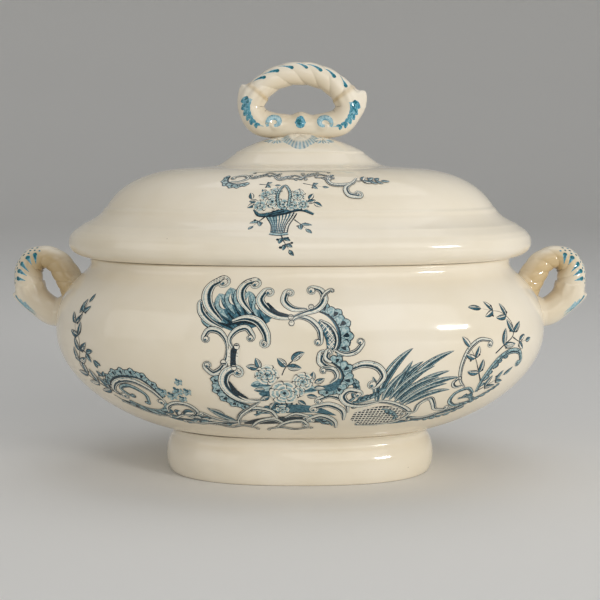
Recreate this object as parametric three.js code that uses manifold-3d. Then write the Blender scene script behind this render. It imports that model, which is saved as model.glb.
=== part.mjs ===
// Covered soup tureen in glazed earthenware: an oval bowl on a hollow foot, with a stepped lid, a rope-twist
// loop on top of the lid and a matching ear luted to each end of the bowl.
//
// Frame: millimetres, +Z up, +X along the bowl's length, -Y the front. The origin is the centre of the standing
// ring, on the table. Each clay piece is its own closed solid, with a slip joint of GAP between neighbours.

import * as THREE from "three";
import { mergeVertices } from "three/addons/utils/BufferGeometryUtils.js";
import Module from "manifold-3d";

// ---- driving dimensions ------------------------------------------------------------------------------------

const GAP = 0.3; // slip joint between two pieces that touch
const DEPTH_SHARE = 0.69; // half-depth over half-length of every plan outline
const OVAL_POWER = 2.45; // superellipse power of every plan outline: 2 is an ellipse, more is squarer
const OVAL_SIDES = 48;
const CURVE_STEPS = 4; // straight steps that each curve of an outline is drawn with

const FOOT = { topHalf: 78.3, widest: 82.3, standOuter: 79.5, standInner: 71, wall: 7.5 };
const BOWL = { baseZ: 26, base: 66, belly: 147.5, bellyZ: 88, neck: 126.3, mouth: 126.8, rimZ: 131 };
const BOWL_WALL = { side: 5.5, floor: 7 };
const LID = { edge: 127, widest: 139, seatZ: 131.3, stepZ: 160.4, domeZ: 184.5, cap: 37.6, capZ: 193.3 };
const LID_TOP_Z = 203.2;
const FLANGE = { outer: 119, wall: 4.2, depth: 10.5 };
const SPRIG = { shellHalf: 10.5, from: 9.6, drop: 15, thick: 1.4, lobes: 7, leafHalf: 5.2 };

// Stations along the closed centre line of each loop handle: [x, z, radius in the loop's plane].
const LIFT_LOOP = [
  [0, 208.5, 7.8],
  [13, 208.8, 7.6],
  [24.5, 211.6, 8.3],
  [29.3, 219.5, 7.8],
  [26.6, 227.2, 7.3],
  [18, 235.3, 6.9],
  [6.5, 239.6, 6.8],
  [-6.5, 239.6, 6.8],
  [-18, 235.3, 6.9],
  [-26.6, 227.2, 7.3],
  [-29.3, 219.5, 7.8],
  [-24.5, 211.6, 8.3],
  [-13, 208.8, 7.6],
];
const SIDE_LOOP = [
  [149.5, 97, 10.3],
  [160.3, 102.6, 9],
  [165.3, 110, 8.7],
  [166.6, 118.5, 8.4],
  [163.8, 126, 7.8],
  [157, 129.3, 6.9],
  [148.8, 126.4, 7.2],
  [143.3, 118.8, 8],
  [140.3, 110.5, 8.4],
  [141.5, 101.5, 9],
];
const LIFT_SPREAD = 1; // thickness of a loop's tube from front to back, as a share of its radius
const SIDE_SPREAD = 1.12;

const CREAM = 0xe9dcc3;
const BLUE_GREY = 0x8fb0bd;

const wasm = await Module();
wasm.setup();

// ---- solids and booleans -----------------------------------------------------------------------------------

// A closed geometry as a manifold-3d solid, for cutting and joining.
function solidOf(geometry) {
  const bare = geometry.clone();
  bare.deleteAttribute("normal");
  bare.deleteAttribute("uv");
  const merged = mergeVertices(bare, 1e-3);
  return new wasm.Manifold(
    new wasm.Mesh({
      numProp: 3,
      vertProperties: merged.attributes.position.array,
      triVerts: new Uint32Array(merged.index.array),
    }),
  );
}

// A manifold-3d solid back as a three.js geometry.
function geometryOf(solid) {
  const mesh = solid.getMesh();
  return new THREE.BufferGeometry()
    .setAttribute("position", new THREE.BufferAttribute(mesh.vertProperties, 3))
    .setIndex(new THREE.BufferAttribute(mesh.triVerts, 1));
}

// ---- oval turned pieces ------------------------------------------------------------------------------------

// How far a superellipse of half-axes a and b reaches in the direction of angle.
function ovalReach(a, b, angle) {
  const across = Math.abs(Math.cos(angle) / a) ** OVAL_POWER;
  const along = Math.abs(Math.sin(angle) / b) ** OVAL_POWER;
  return (across + along) ** (-1 / OVAL_POWER);
}

// Turns an outline of (half-length, height) points into an oval solid. depthOf gives the half-depth that goes
// with an outline point, so that a wall can keep its thickness all round.
function ovalTurning(outline, depthOf) {
  const geometry = new THREE.LatheGeometry(outline, OVAL_SIDES);
  const position = geometry.attributes.position;
  for (let i = 0; i < position.count; i++) {
    const point = outline[i % outline.length];
    const angle = (Math.floor(i / outline.length) / OVAL_SIDES) * 2 * Math.PI;
    const half = Math.max(point.x, 0);
    const reach = half > 0 ? ovalReach(half, depthOf(point), angle) : 0;
    position.setXYZ(i, reach * Math.cos(angle), reach * Math.sin(angle), point.y);
  }
  return geometry;
}

// An outline's points, without the repeats where two curves meet.
function pointsOf(path) {
  return path.getPoints(CURVE_STEPS).filter((p, i, all) => i === 0 || p.distanceTo(all[i - 1]) > 1e-6);
}

const outerDepth = (point) => point.x * DEPTH_SHARE;

// The half-depth of an inner outline whose wall is as thick at the front as it is at the ends.
const innerDepth = (wall) => (point) => (point.x + wall) * DEPTH_SHARE - wall;

// The half-depth of a ring that keeps the same distance inside an outline of half-length outer.
const slackDepth = (outer) => (point) => point.x - outer * (1 - DEPTH_SHARE);

// ---- bowl --------------------------------------------------------------------------------------------------

// The bowl's outside, from the centre of its underside to its mouth, grown by a margin.
function bowlOutside(margin = 0) {
  const { baseZ, base, belly, bellyZ, neck, mouth, rimZ } = BOWL;
  const m = margin;
  return new THREE.Path()
    .moveTo(0, baseZ - m)
    .lineTo(base, baseZ - m)
    .bezierCurveTo(106 + m, 29.5 - m, belly + m, 58, belly + m, bellyZ)
    .bezierCurveTo(belly + m, 104, 140 + m, 114 + m, 130.5 + m, 121.6 + m)
    .quadraticCurveTo(neck + m, 125 + m, neck + m, 128)
    .lineTo(mouth + m, rimZ);
}

// A bowl with an open mouth: the outside, a flat lip, and the inside back to the centre of the floor.
function bowlGeometry() {
  const { baseZ, base, belly, bellyZ, neck, mouth, rimZ } = BOWL;
  const { side: wall, floor } = BOWL_WALL;
  const outside = pointsOf(bowlOutside());
  const floorZ = baseZ + floor;
  const inside = pointsOf(
    new THREE.Path()
      .moveTo(mouth - wall, rimZ)
      .lineTo(neck - wall, 127)
      .quadraticCurveTo(neck - wall, 122, 126, 117.6)
      .bezierCurveTo(134.5, 111, belly - wall, 101, belly - wall, bellyZ)
      .bezierCurveTo(belly - wall, 62, 104, floorZ + 3.5, base, floorZ)
      .lineTo(0, floorZ),
  );
  const inner = innerDepth(wall);
  const depthOf = (point) => (inside.includes(point) ? inner(point) : outerDepth(point));
  return ovalTurning([...outside, ...inside], depthOf);
}

// ---- foot --------------------------------------------------------------------------------------------------

// A hollow oval pedestal that swells to a flat standing ring.
function footGeometry() {
  const { topHalf, widest, standOuter, standInner, wall } = FOOT;
  const top = BOWL.baseZ - GAP;
  const ring = new THREE.Path()
    .moveTo(topHalf - 13, top)
    .lineTo(widest - wall - 4, 17)
    .lineTo(standInner + 0.5, 3)
    .lineTo(standInner, 0)
    .lineTo(standOuter, 0)
    .quadraticCurveTo(widest, 4, widest, 9.5)
    .quadraticCurveTo(widest - 0.2, 17, topHalf + 0.6, 21.5)
    .lineTo(topHalf - 1, top)
    .lineTo(topHalf - 13, top);
  return ovalTurning(pointsOf(ring), slackDepth(FOOT.widest));
}

// ---- lid ---------------------------------------------------------------------------------------------------

// The lid's outside, from its rim's lower edge up over the mouldings, the dome and the cap to the axis.
function lidOutside() {
  const { edge, widest, seatZ, stepZ, domeZ, cap, capZ } = LID;
  return new THREE.Path()
    .moveTo(edge, seatZ)
    .bezierCurveTo(134, seatZ + 0.5, widest, 135.5, widest, 140)
    .quadraticCurveTo(widest, 144.4, 136, 146.8)
    .lineTo(131.3, 150.2)
    .quadraticCurveTo(122.5, 154, 118.6, stepZ - 2.2)
    .lineTo(118, stepZ - 0.6)
    .lineTo(116.2, stepZ)
    .bezierCurveTo(110.5, 171, 97, 182, 70, domeZ - 1)
    .lineTo(53, domeZ)
    .bezierCurveTo(45.5, domeZ + 0.5, 42, 189.5, cap, capZ)
    .quadraticCurveTo(27, 199.6, 14, 202.2)
    .lineTo(0, LID_TOP_Z);
}

// A hollow lid: the outside, then the inside from under the cap down to the flat seat.
function lidGeometry() {
  const outside = pointsOf(lidOutside());
  const inside = pointsOf(
    new THREE.Path()
      .moveTo(0, 197.6)
      .quadraticCurveTo(20, 197, 33, 187.5)
      .quadraticCurveTo(38.5, 179.5, 50, 179.2)
      .bezierCurveTo(90, 178.5, 105.5, 167, 110.5, 157.5)
      .quadraticCurveTo(113.5, 152, 120, 147)
      .quadraticCurveTo(124, 138, 114.5, LID.seatZ)
      .lineTo(LID.edge, LID.seatZ),
  );
  const seatEdge = inside.at(-1);
  const inner = innerDepth(5);
  return ovalTurning([...outside, ...inside], (point) =>
    inside.includes(point) && point !== seatEdge ? inner(point) : outerDepth(point),
  );
}

// The ring under the lid that drops inside the bowl's mouth and keeps the lid from sliding off.
function flangeGeometry() {
  const { outer, wall, depth } = FLANGE;
  const top = LID.seatZ - GAP;
  const ring = new THREE.Path()
    .moveTo(outer - wall, top)
    .lineTo(outer - wall, top - depth + 1)
    .lineTo(outer - wall + 1, top - depth)
    .lineTo(outer - 1.6, top - depth)
    .lineTo(outer - 0.6, top - depth + 1.6)
    .lineTo(outer, top)
    .lineTo(outer - wall, top);
  return ovalTurning(pointsOf(ring), slackDepth(BOWL.mouth));
}

// The top of the lid as a plain core, for fitting what stands on the cap.
function capCore() {
  const outline = pointsOf(lidOutside()).filter((p) => p.y > LID.domeZ - 0.1);
  const floorZ = LID.domeZ - 10;
  outline.unshift(new THREE.Vector2(0, floorZ), new THREE.Vector2(outline[0].x, floorZ));
  return solidOf(ovalTurning(outline, outerDepth));
}

// ---- loops -------------------------------------------------------------------------------------------------

// A closed loop of clay tube in the XZ plane. stations are [x, z, radius] round its centre line, anticlockwise
// from the front, and spread is the tube's front-to-back thickness as a share of its radius.
function loopSolid(stations, spread) {
  const steps = 36;
  const sides = 10;
  const centreLine = new THREE.CatmullRomCurve3(
    stations.map(([x, z, radius]) => new THREE.Vector3(x, z, radius)),
    true,
    "centripetal",
  );
  const rings = Array.from({ length: steps }, (_, i) => {
    const { x, y: z, z: radius } = centreLine.getPoint(i / steps);
    const ahead = centreLine.getTangent(i / steps);
    const length = Math.hypot(ahead.x, ahead.y);
    return Array.from({ length: sides }, (_, k) => {
      const turn = (k / sides) * 2 * Math.PI;
      const out = (radius * Math.cos(turn)) / length;
      return new THREE.Vector3(x + out * ahead.y, spread * radius * Math.sin(turn), z - out * ahead.x);
    });
  });
  const corners = [];
  rings.forEach((ring, i) => {
    const next = rings[(i + 1) % steps];
    for (let k = 0; k < sides; k++) {
      const m = (k + 1) % sides;
      corners.push(ring[k], next[m], next[k], ring[k], ring[m], next[m]);
    }
  });
  return solidOf(new THREE.BufferGeometry().setFromPoints(corners));
}

// A pointed leaf tip that stands out from a loop's shoulder. lean is its angle from upright, in degrees.
function leafTip(x, z, lean, length = 11) {
  const cone = new THREE.ConeGeometry(4.2, length, 9)
    .rotateX(Math.PI / 2)
    .rotateY(THREE.MathUtils.degToRad(lean))
    .translate(x, 0, z);
  return solidOf(cone);
}

// The loop that lifts the lid, cut to sit on the cap.
function liftLoopGeometry() {
  const loop = loopSolid(LIFT_LOOP, LIFT_SPREAD).add(leafTip(34.6, 225, 40)).add(leafTip(-34.6, 225, -40));
  return geometryOf(loop.subtract(capCore().translate(0, 0, GAP)));
}

// The ear at one end of the bowl, cut to sit on the bowl's shoulder. side is +1 or -1.
function sideLoopGeometry(side) {
  const loop = loopSolid(SIDE_LOOP, SIDE_SPREAD).add(leafTip(170.3, 106.2, 84, 8.5));
  const outline = pointsOf(bowlOutside(GAP));
  outline.push(new THREE.Vector2(0, BOWL.rimZ));
  const core = ovalTurning(outline, (point) => (point.x - GAP) * DEPTH_SHARE + GAP);
  return geometryOf(loop.subtract(solidOf(core))).rotateZ(side > 0 ? 0 : Math.PI);
}

// ---- sprigs ------------------------------------------------------------------------------------------------

// A flat outline as an upright prism tall enough to pass through the cap.
function capPrism(shape) {
  return solidOf(new THREE.ExtrudeGeometry(shape, { depth: 30, bevelEnabled: false, curveSegments: 3 }));
}

// A small scallop shell in relief between two leaves, lying on the slope of the cap. side is -1 in front.
function sprigGeometry(side) {
  const { shellHalf, from, drop, thick, lobes, leafHalf } = SPRIG;
  const rimPoint = (turn, reach) => [
    -shellHalf * Math.cos(turn) * reach,
    -from - drop * Math.sin(turn) * reach,
  ];
  const fan = new THREE.Shape().moveTo(-shellHalf, -from);
  for (let i = 0; i < lobes; i++) {
    const middle = (Math.PI * (i + 0.5)) / lobes;
    const end = (Math.PI * (i + 1)) / lobes;
    fan.quadraticCurveTo(...rimPoint(middle, 1.15), ...rimPoint(end, 1));
  }
  fan.closePath();
  let outline = capPrism(fan);
  for (const hand of [-1, 1]) {
    const leaf = new THREE.Shape();
    leaf.absellipse(hand * 12, -from - 3.2, leafHalf, 2.2, 0, 2 * Math.PI, false, hand * -0.35);
    outline = outline.add(capPrism(leaf));
  }
  const skin = capCore()
    .translate(0, 0, GAP + thick)
    .subtract(capCore().translate(0, 0, GAP));
  const relief = skin.intersect(outline.translate(0, 0, LID.domeZ));
  return geometryOf(relief).rotateZ(side < 0 ? 0 : Math.PI);
}

// ---- assembly ----------------------------------------------------------------------------------------------

function piece(name, geometry, colour = CREAM) {
  const material = new THREE.MeshStandardMaterial({ color: colour, roughness: 0.18, metalness: 0 });
  const mesh = new THREE.Mesh(geometry, material);
  mesh.name = name;
  return mesh;
}

const tureen = new THREE.Group();
tureen.add(
  piece("bowl", bowlGeometry()),
  piece("foot", footGeometry()),
  piece("handle_right", sideLoopGeometry(1)),
  piece("handle_left", sideLoopGeometry(-1)),
);
const cover = new THREE.Group();
cover.add(
  piece("lid", lidGeometry()),
  piece("lid_flange", flangeGeometry()),
  piece("lid_handle", liftLoopGeometry()),
  piece("sprig_front", sprigGeometry(-1), BLUE_GREY),
  piece("sprig_back", sprigGeometry(1), BLUE_GREY),
);
tureen.add(cover);

export default tureen;
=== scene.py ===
"""An oval soup tureen in ivory-glazed cream earthenware, with a blue transfer print.

Sizes are in millimetres while a piece is shaped and metres once it is finished. +Z is up, +X runs along the
bowl's length and -Y is the front.
"""

import logging
import math
from bisect import bisect_right
from collections.abc import Callable, Sequence
from dataclasses import dataclass, field
from enum import Enum
from functools import partial

import bmesh
import bpy
from bmesh.types import BMesh
from bpy.types import Material
from mathutils import Euler, Matrix, Vector, noise
from mathutils.geometry import interpolate_bezier


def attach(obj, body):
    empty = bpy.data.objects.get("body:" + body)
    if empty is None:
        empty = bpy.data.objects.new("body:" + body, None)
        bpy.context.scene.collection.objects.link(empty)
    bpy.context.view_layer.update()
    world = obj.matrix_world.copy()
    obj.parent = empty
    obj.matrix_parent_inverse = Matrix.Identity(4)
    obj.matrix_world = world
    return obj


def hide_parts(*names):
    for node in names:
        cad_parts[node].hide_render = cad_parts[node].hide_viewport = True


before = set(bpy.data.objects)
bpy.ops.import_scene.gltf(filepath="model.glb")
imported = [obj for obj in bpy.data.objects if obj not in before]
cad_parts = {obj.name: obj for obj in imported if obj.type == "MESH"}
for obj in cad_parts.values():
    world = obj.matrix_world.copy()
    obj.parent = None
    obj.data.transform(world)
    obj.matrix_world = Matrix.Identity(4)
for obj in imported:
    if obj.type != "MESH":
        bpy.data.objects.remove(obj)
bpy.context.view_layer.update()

log = logging.getLogger("tureen")

MM = 0.001
DEPTH_SHARE = 0.69  # half-depth over half-length of every plan outline
OVAL_POWER = 2.45  # superellipse power of every plan outline
UNEVEN = 0.0012  # how far the clay settled out of true, as a share of its distance from the middle
UNEVEN_SPAN = 48.0  # mm across one soft swelling
WELD = 1e-3  # mm within which two points of a mesh are one
GLAZE_IOR = 1.54  # of a lead glaze
TINY = 1e-9  # mm added or kept so that nothing is divided by nought
INK_STEP = 0.9  # mm between the points of a printed line
CLOSE_STEP = 0.8  # mm between the points of a line that is drawn more closely
FLAT_STEPS = 12  # pieces that the flat under the middle of the bowl is drawn in
RIM_POINTS = 30  # points of the lid's profile that lie on its rim, before its cove

Profile = list[Vector]
Place = tuple[Vector, Vector]


# ---- small tools -------------------------------------------------------------------------------------------


def srgb(code: str) -> tuple[float, float, float, float]:
    """Turns an sRGB hex colour into linear RGBA.

    Args:
        code: six hex digits, with or without a leading hash.

    Returns:
        The linear colour with an alpha of one.
    """
    code = code.lstrip("#")
    parts = [int(code[i : i + 2], 16) / 255 for i in (0, 2, 4)]
    linear = [c / 12.92 if c <= 0.04045 else ((c + 0.055) / 1.055) ** 2.4 for c in parts]
    return (linear[0], linear[1], linear[2], 1.0)


def ease(value: float) -> float:
    """Smooth step of a value held between nought and one."""
    value = min(1.0, max(0.0, value))
    return value * value * (3 - 2 * value)


def bell(distance: float, width: float) -> float:
    """A soft bump that is one at no distance and fades over width."""
    return math.exp(-((distance / width) ** 2))


def add_node(tree: bpy.types.NodeTree, kind: str, settings: dict, inputs: dict) -> bpy.types.Node:
    """Adds a shader node with its settings and links.

    Args:
        tree: the material's node tree.
        kind: the node's type name.
        settings: attributes to set on the node.
        inputs: socket name or number to a value, or to an output socket to link from.

    Returns:
        The new node.
    """
    node = tree.nodes.new(kind)
    for name, value in settings.items():
        setattr(node, name, value)
    for name, value in inputs.items():
        if isinstance(value, bpy.types.NodeSocket):
            tree.links.new(value, node.inputs[name])
        else:
            node.inputs[name].default_value = value
    return node


def smooth_line(points: Sequence[Sequence[float]], step: float, closed: bool = False) -> list[Vector]:
    """Draws a smooth curve through points.

    Args:
        points: what the curve passes through.
        step: the spacing of the curve's own points.
        closed: whether the curve comes back to its start.

    Returns:
        Points evenly spaced along the curve.
    """
    knots = [Vector(p) for p in points]
    count = len(knots)
    dense: list[Vector] = []
    spans = count if closed else count - 1
    for i in range(spans):
        a, b = knots[i], knots[(i + 1) % count]
        before = knots[i - 1] if closed or i > 0 else a * 2 - b
        after = knots[(i + 2) % count] if closed or i + 2 < count else b * 2 - a
        reach = (b - a).length
        ease_in = (b - before) * (reach / ((b - a).length + (a - before).length + TINY))
        ease_out = (after - a) * (reach / ((after - b).length + (b - a).length + TINY))
        dims = len(a)
        first, second = (a + ease_in / 3).resized(3), (b - ease_out / 3).resized(3)
        run = interpolate_bezier(a.resized(3), first, second, b.resized(3), 17)
        dense.extend(p.resized(dims) for p in run[:-1])
    dense.append(knots[0] if closed else knots[-1])
    return respace(dense, step)


def respace(points: Sequence[Vector], step: float) -> list[Vector]:
    """Spaces points evenly along a polyline, keeping both its ends.

    Args:
        points: the polyline.
        step: the wanted spacing.

    Returns:
        Points about step apart.
    """
    marks = [0.0]
    for a, b in zip(points, points[1:]):
        marks.append(marks[-1] + (b - a).length)
    count = max(2, round(marks[-1] / step))
    spaced = []
    for k in range(count + 1):
        at = marks[-1] * k / count
        i = min(max(bisect_right(marks, at) - 1, 0), len(points) - 2)
        share = (at - marks[i]) / max(marks[i + 1] - marks[i], TINY)
        spaced.append(points[i].lerp(points[i + 1], min(1.0, share)))
    return spaced


def finish_piece(
    name: str,
    sheet: BMesh,
    coat: Material,
    body: str,
    nodes: Sequence[str] = (),
) -> bpy.types.Object:
    """Makes an object of a mesh drawn in millimetres and hands it to the frame.

    Args:
        name: the piece's name.
        sheet: the mesh, which is freed.
        coat: its material.
        body: the frame body that it rides on.
        nodes: the frame nodes that it stands for.

    Returns:
        The finished object.
    """
    bmesh.ops.scale(sheet, vec=(MM, MM, MM), verts=sheet.verts)
    mesh = bpy.data.meshes.new(name)
    sheet.to_mesh(mesh)
    sheet.free()
    mesh.polygons.foreach_set("use_smooth", [True] * len(mesh.polygons))
    mesh.materials.append(coat)
    piece = bpy.data.objects.new(name, mesh)
    bpy.context.scene.collection.objects.link(piece)
    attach(piece, body)
    if nodes:
        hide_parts(*nodes)
    log.info("%s: %d faces", name, len(mesh.polygons))
    return piece


# ---- finishes ----------------------------------------------------------------------------------------------


@dataclass(frozen=True)
class IvoryGlaze:
    """Cream earthenware under a clear lead glaze: a deep wet gloss over a warm ivory ground.

    The ground is a little uneven in colour, the glaze has settled in very slight ripples, and a few iron
    specks show through it. One vertex attribute tints a piece yellow-brown: glaze gathered with painted
    crease shade at the edges of a loop's sheaths, and painted shade with a painted warm reflection on the
    inner side of a loop. The tint attribute says where a blue wash was brushed on.
    """

    name: str = "ivory_lead_glaze_on_cream_earthenware"
    pale: str = "#F0E6D3"
    warm: str = "#E8DCC4"
    speck: str = "#6E5A44"
    # yellow-brown of glaze gathered in creases, also used as painted shade and painted warm reflection inside
    # the loops
    honey_pool_and_shade: str = "#C4A977"
    tint: str = "#7FA9B6"
    deep_tint: str = "#3B7488"
    cloud_span: float = 55.0  # mm across a soft cloud of colour
    speck_span: float = 8.0  # mm between cells that may hold a speck
    ripple_span: float = 14.0  # mm across a ripple in the glaze
    stroke_span: float = 2.4  # mm across a streak of the brush
    roughness: float = 0.09

    def make(self) -> Material:
        """Builds the material.

        Returns:
            The glazed ivory ground with its tints.
        """
        material = bpy.data.materials.new(self.name)
        material.use_nodes = True
        tree = material.node_tree
        shader = tree.nodes["Principled BSDF"]
        place = add_node(tree, "ShaderNodeTexCoord", {}, {}).outputs["Object"]
        cloud = add_node(
            tree, "ShaderNodeTexNoise", {},
            {"Vector": place, "Scale": 1000 / self.cloud_span, "Detail": 3.0, "Roughness": 0.55},
        )
        clouded = add_node(
            tree, "ShaderNodeMapRange", {}, {"Value": cloud.outputs["Fac"], "From Min": 0.35, "From Max": 0.7}
        )
        cells = add_node(
            tree, "ShaderNodeTexVoronoi", {"feature": "F1"},
            {"Vector": place, "Scale": 1000 / self.speck_span, "Randomness": 1.0},
        )
        near = add_node(
            tree, "ShaderNodeMapRange", {"interpolation_type": "SMOOTHSTEP"},
            {"Value": cells.outputs[0], "From Min": 0.025, "From Max": 0.05, "To Min": 0.6, "To Max": 0.0},
        )
        lot = add_node(tree, "ShaderNodeSeparateColor", {}, {"Color": cells.outputs["Color"]})
        chosen = add_node(
            tree, "ShaderNodeMath", {"operation": "GREATER_THAN"}, {0: lot.outputs["Red"], 1: 0.93}
        )
        specked = add_node(
            tree, "ShaderNodeMath", {"operation": "MULTIPLY"},
            {0: near.outputs["Result"], 1: chosen.outputs[0]},
        )
        brush = add_node(
            tree, "ShaderNodeTexNoise", {},
            {"Vector": place, "Scale": 1000 / self.stroke_span, "Detail": 2.0, "Roughness": 0.6},
        )
        streaks = add_node(
            tree, "ShaderNodeMapRange", {},
            {"Value": brush.outputs["Fac"], "From Min": 0.35, "From Max": 0.65},
        )
        paint = add_node(
            tree, "ShaderNodeMix", {"data_type": "RGBA"},
            {"Factor": streaks.outputs["Result"], 6: srgb(self.tint), 7: srgb(self.deep_tint)},
        )
        # reads the attribute of gathered glaze, painted crease shade and painted warm reflection on the
        # loops' inner sides
        pooled_and_shaded = add_node(tree, "ShaderNodeAttribute", {"attribute_name": "pool_and_painted_shade"}, {})
        painted = add_node(tree, "ShaderNodeAttribute", {"attribute_name": "tint"}, {})
        colour = srgb(self.pale)
        for share, over in (
            (clouded.outputs["Result"], srgb(self.warm)),
            (specked.outputs[0], srgb(self.speck)),
            # painted shade and painted warm reflection inside the loops, with glaze gathered at the sheath
            # edges
            (pooled_and_shaded.outputs["Fac"], srgb(self.honey_pool_and_shade)),
            (painted.outputs["Fac"], paint.outputs[2]),
        ):
            mixed = add_node(
                tree, "ShaderNodeMix", {"data_type": "RGBA"}, {"Factor": share, 6: colour, 7: over}
            )
            colour = mixed.outputs[2]
        ripple = add_node(
            tree, "ShaderNodeTexNoise", {},
            {"Vector": place, "Scale": 1000 / self.ripple_span, "Detail": 2.0, "Roughness": 0.45},
        )
        bump = add_node(
            tree, "ShaderNodeBump", {},
            {"Height": ripple.outputs["Fac"], "Strength": 0.10, "Distance": 0.001},
        )
        tree.links.new(colour, shader.inputs["Base Color"])
        tree.links.new(bump.outputs["Normal"], shader.inputs["Normal"])
        shader.inputs["Roughness"].default_value = self.roughness
        shader.inputs["IOR"].default_value = GLAZE_IOR
        return material


@dataclass(frozen=True)
class TransferInk:
    """Cobalt-teal ink printed from a copper plate on tissue and glazed over, so it shines as the glaze does.

    The plate's stipple and the tissue's uneven press show as a fine mottle in the ink.
    """

    name: str
    dark: str
    light: str
    # The real stipple is about a quarter of a millimetre, which wouldn't show, so it is drawn coarser.
    grain: float = 1.1  # mm across the stipple
    roughness: float = 0.09

    def make(self) -> Material:
        """Builds the material.

        Returns:
            The mottled ink under its glaze.
        """
        material = bpy.data.materials.new(self.name)
        material.use_nodes = True
        tree = material.node_tree
        shader = tree.nodes["Principled BSDF"]
        place = add_node(tree, "ShaderNodeTexCoord", {}, {}).outputs["Object"]
        mottle = add_node(
            tree, "ShaderNodeTexNoise", {}, {"Vector": place, "Scale": 1000 / self.grain, "Detail": 2.0}
        )
        share = add_node(
            tree, "ShaderNodeMapRange", {},
            {"Value": mottle.outputs["Fac"], "From Min": 0.36, "From Max": 0.64},
        )
        colour = add_node(
            tree, "ShaderNodeMix", {"data_type": "RGBA"},
            {"Factor": share.outputs["Result"], 6: srgb(self.dark), 7: srgb(self.light)},
        )
        tree.links.new(colour.outputs[2], shader.inputs["Base Color"])
        shader.inputs["Roughness"].default_value = self.roughness
        shader.inputs["IOR"].default_value = GLAZE_IOR
        return material


class Tone(Enum):
    """The inks and paints that the decoration is laid on with, as (name, dark, light)."""

    LINE = ("transfer_ink_engraved_line", "#0B1B22", "#183440")
    SHADE = ("transfer_ink_deep_stipple", "#264C59", "#507B88")
    WASH = ("transfer_ink_light_stipple", "#6F959C", "#B7C9C5")
    BARE = ("bare_ground_inside_a_motif", "#E0DCCC", "#EDE5D3")
    BRUSH = ("hand_painted_teal_stroke", "#145562", "#2F8492")
    PAINT = ("hand_painted_cerulean", "#2A7F9A", "#79B5C4")
    PALE = ("hand_painted_pale_blue", "#86B0BE", "#B9D2D4")


LINE, SHADE, WASH, BARE, BRUSH, PAINT, PALE = Tone


# ---- profiles and skins ------------------------------------------------------------------------------------


@dataclass
class Outline:
    """A side profile in millimetres, as points of half-length, height and wall inset."""

    points: Profile

    def line(self, half: float, height: float, inset: float | None = None, steps: int = 1) -> "Outline":
        """Adds a straight run to (half, height).

        Args:
            half: the end's half-length.
            height: the end's height.
            inset: the end's distance inside the outer mould line, or the last point's.
            steps: how many pieces the run is drawn in.

        Returns:
            This outline.
        """
        start = self.points[-1]
        end = Vector((half, height, start.z if inset is None else inset))
        self.points.extend(start.lerp(end, k / steps) for k in range(1, steps + 1))
        return self

    def curve(self, first: tuple, second: tuple, end: tuple, steps: int = 16) -> "Outline":
        """Adds a cubic curve with two handles.

        Args:
            first: the first handle, as (half-length, height).
            second: the second handle.
            end: the end of the curve.
            steps: how many pieces it is drawn in.

        Returns:
            This outline.
        """
        start = self.points[-1]
        inset = start.z
        knots = [Vector((*p, inset)) for p in (first, second, end)]
        self.points.extend(interpolate_bezier(start, knots[0], knots[1], knots[2], steps + 1)[1:])
        return self

    def arc(self, corner: tuple, end: tuple, steps: int = 8) -> "Outline":
        """Adds a quadratic curve that turns at one corner.

        Args:
            corner: the corner that the curve is drawn towards.
            end: the end of the curve.
            steps: how many pieces it is drawn in.

        Returns:
            This outline.
        """
        start = self.points[-1]
        turn = Vector((*corner, start.z))
        goal = Vector((*end, start.z))
        first, second = start.lerp(turn, 2 / 3), goal.lerp(turn, 2 / 3)
        return self.curve(tuple(first.xy), tuple(second.xy), end, steps)


def oval_reach(half: float, depth: float, angle: float, power: float = OVAL_POWER) -> float:
    """How far a superellipse reaches in a direction.

    Args:
        half: its half-length.
        depth: its half-depth.
        angle: the direction.
        power: its power.

    Returns:
        The distance from its middle to its edge.
    """
    across = abs(math.cos(angle) / half) ** power
    along = abs(math.sin(angle) / depth) ** power
    return (across + along) ** (-1 / power)


def plan_half(x: float, y: float) -> float:
    """The half-length of the oval that passes through a place in plan."""
    return (abs(x) ** OVAL_POWER + abs(y / DEPTH_SHARE) ** OVAL_POWER) ** (1 / OVAL_POWER)


def settle(point: Vector) -> Vector:
    """Moves a point as the clay moved in drying and firing, about a fifth of a millimetre either way."""
    swell = 1 + UNEVEN * noise.noise(point / UNEVEN_SPAN)
    return Vector((point.x * swell, point.y * swell, point.z))


def oval_point(half: float, height: float, inset: float, angle: float) -> Vector:
    """A point of an oval piece.

    Args:
        half: the half-length of the piece at that height.
        height: the height.
        inset: how far inside the outer mould line it lies.
        angle: the direction from the axis, from +X towards +Y.

    Returns:
        The point, with the clay's unevenness.
    """
    if half < WELD:
        return Vector((0, 0, height))
    depth = (half + inset) * DEPTH_SHARE - inset
    reach = oval_reach(half, depth, angle)
    return settle(Vector((reach * math.cos(angle), reach * math.sin(angle), height)))


def spin_chain(form: BMesh, chain: list, steps: int, weld: float) -> None:
    """Spins a chain of points one full turn about the upright axis.

    Args:
        form: the mesh that they are in.
        chain: the points, in order.
        steps: how many steps the turn is made in.
        weld: the distance within which points are joined afterwards.
    """
    edges = [form.edges.new(pair) for pair in zip(chain, chain[1:])]
    bmesh.ops.spin(
        form,
        geom=[*chain, *edges],
        cent=(0, 0, 0),
        axis=(0, 0, 1),
        angle=2 * math.pi,
        steps=steps,
        use_merge=True,
    )
    bmesh.ops.remove_doubles(form, verts=form.verts, dist=weld)
    bmesh.ops.recalc_face_normals(form, faces=form.faces)


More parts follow.
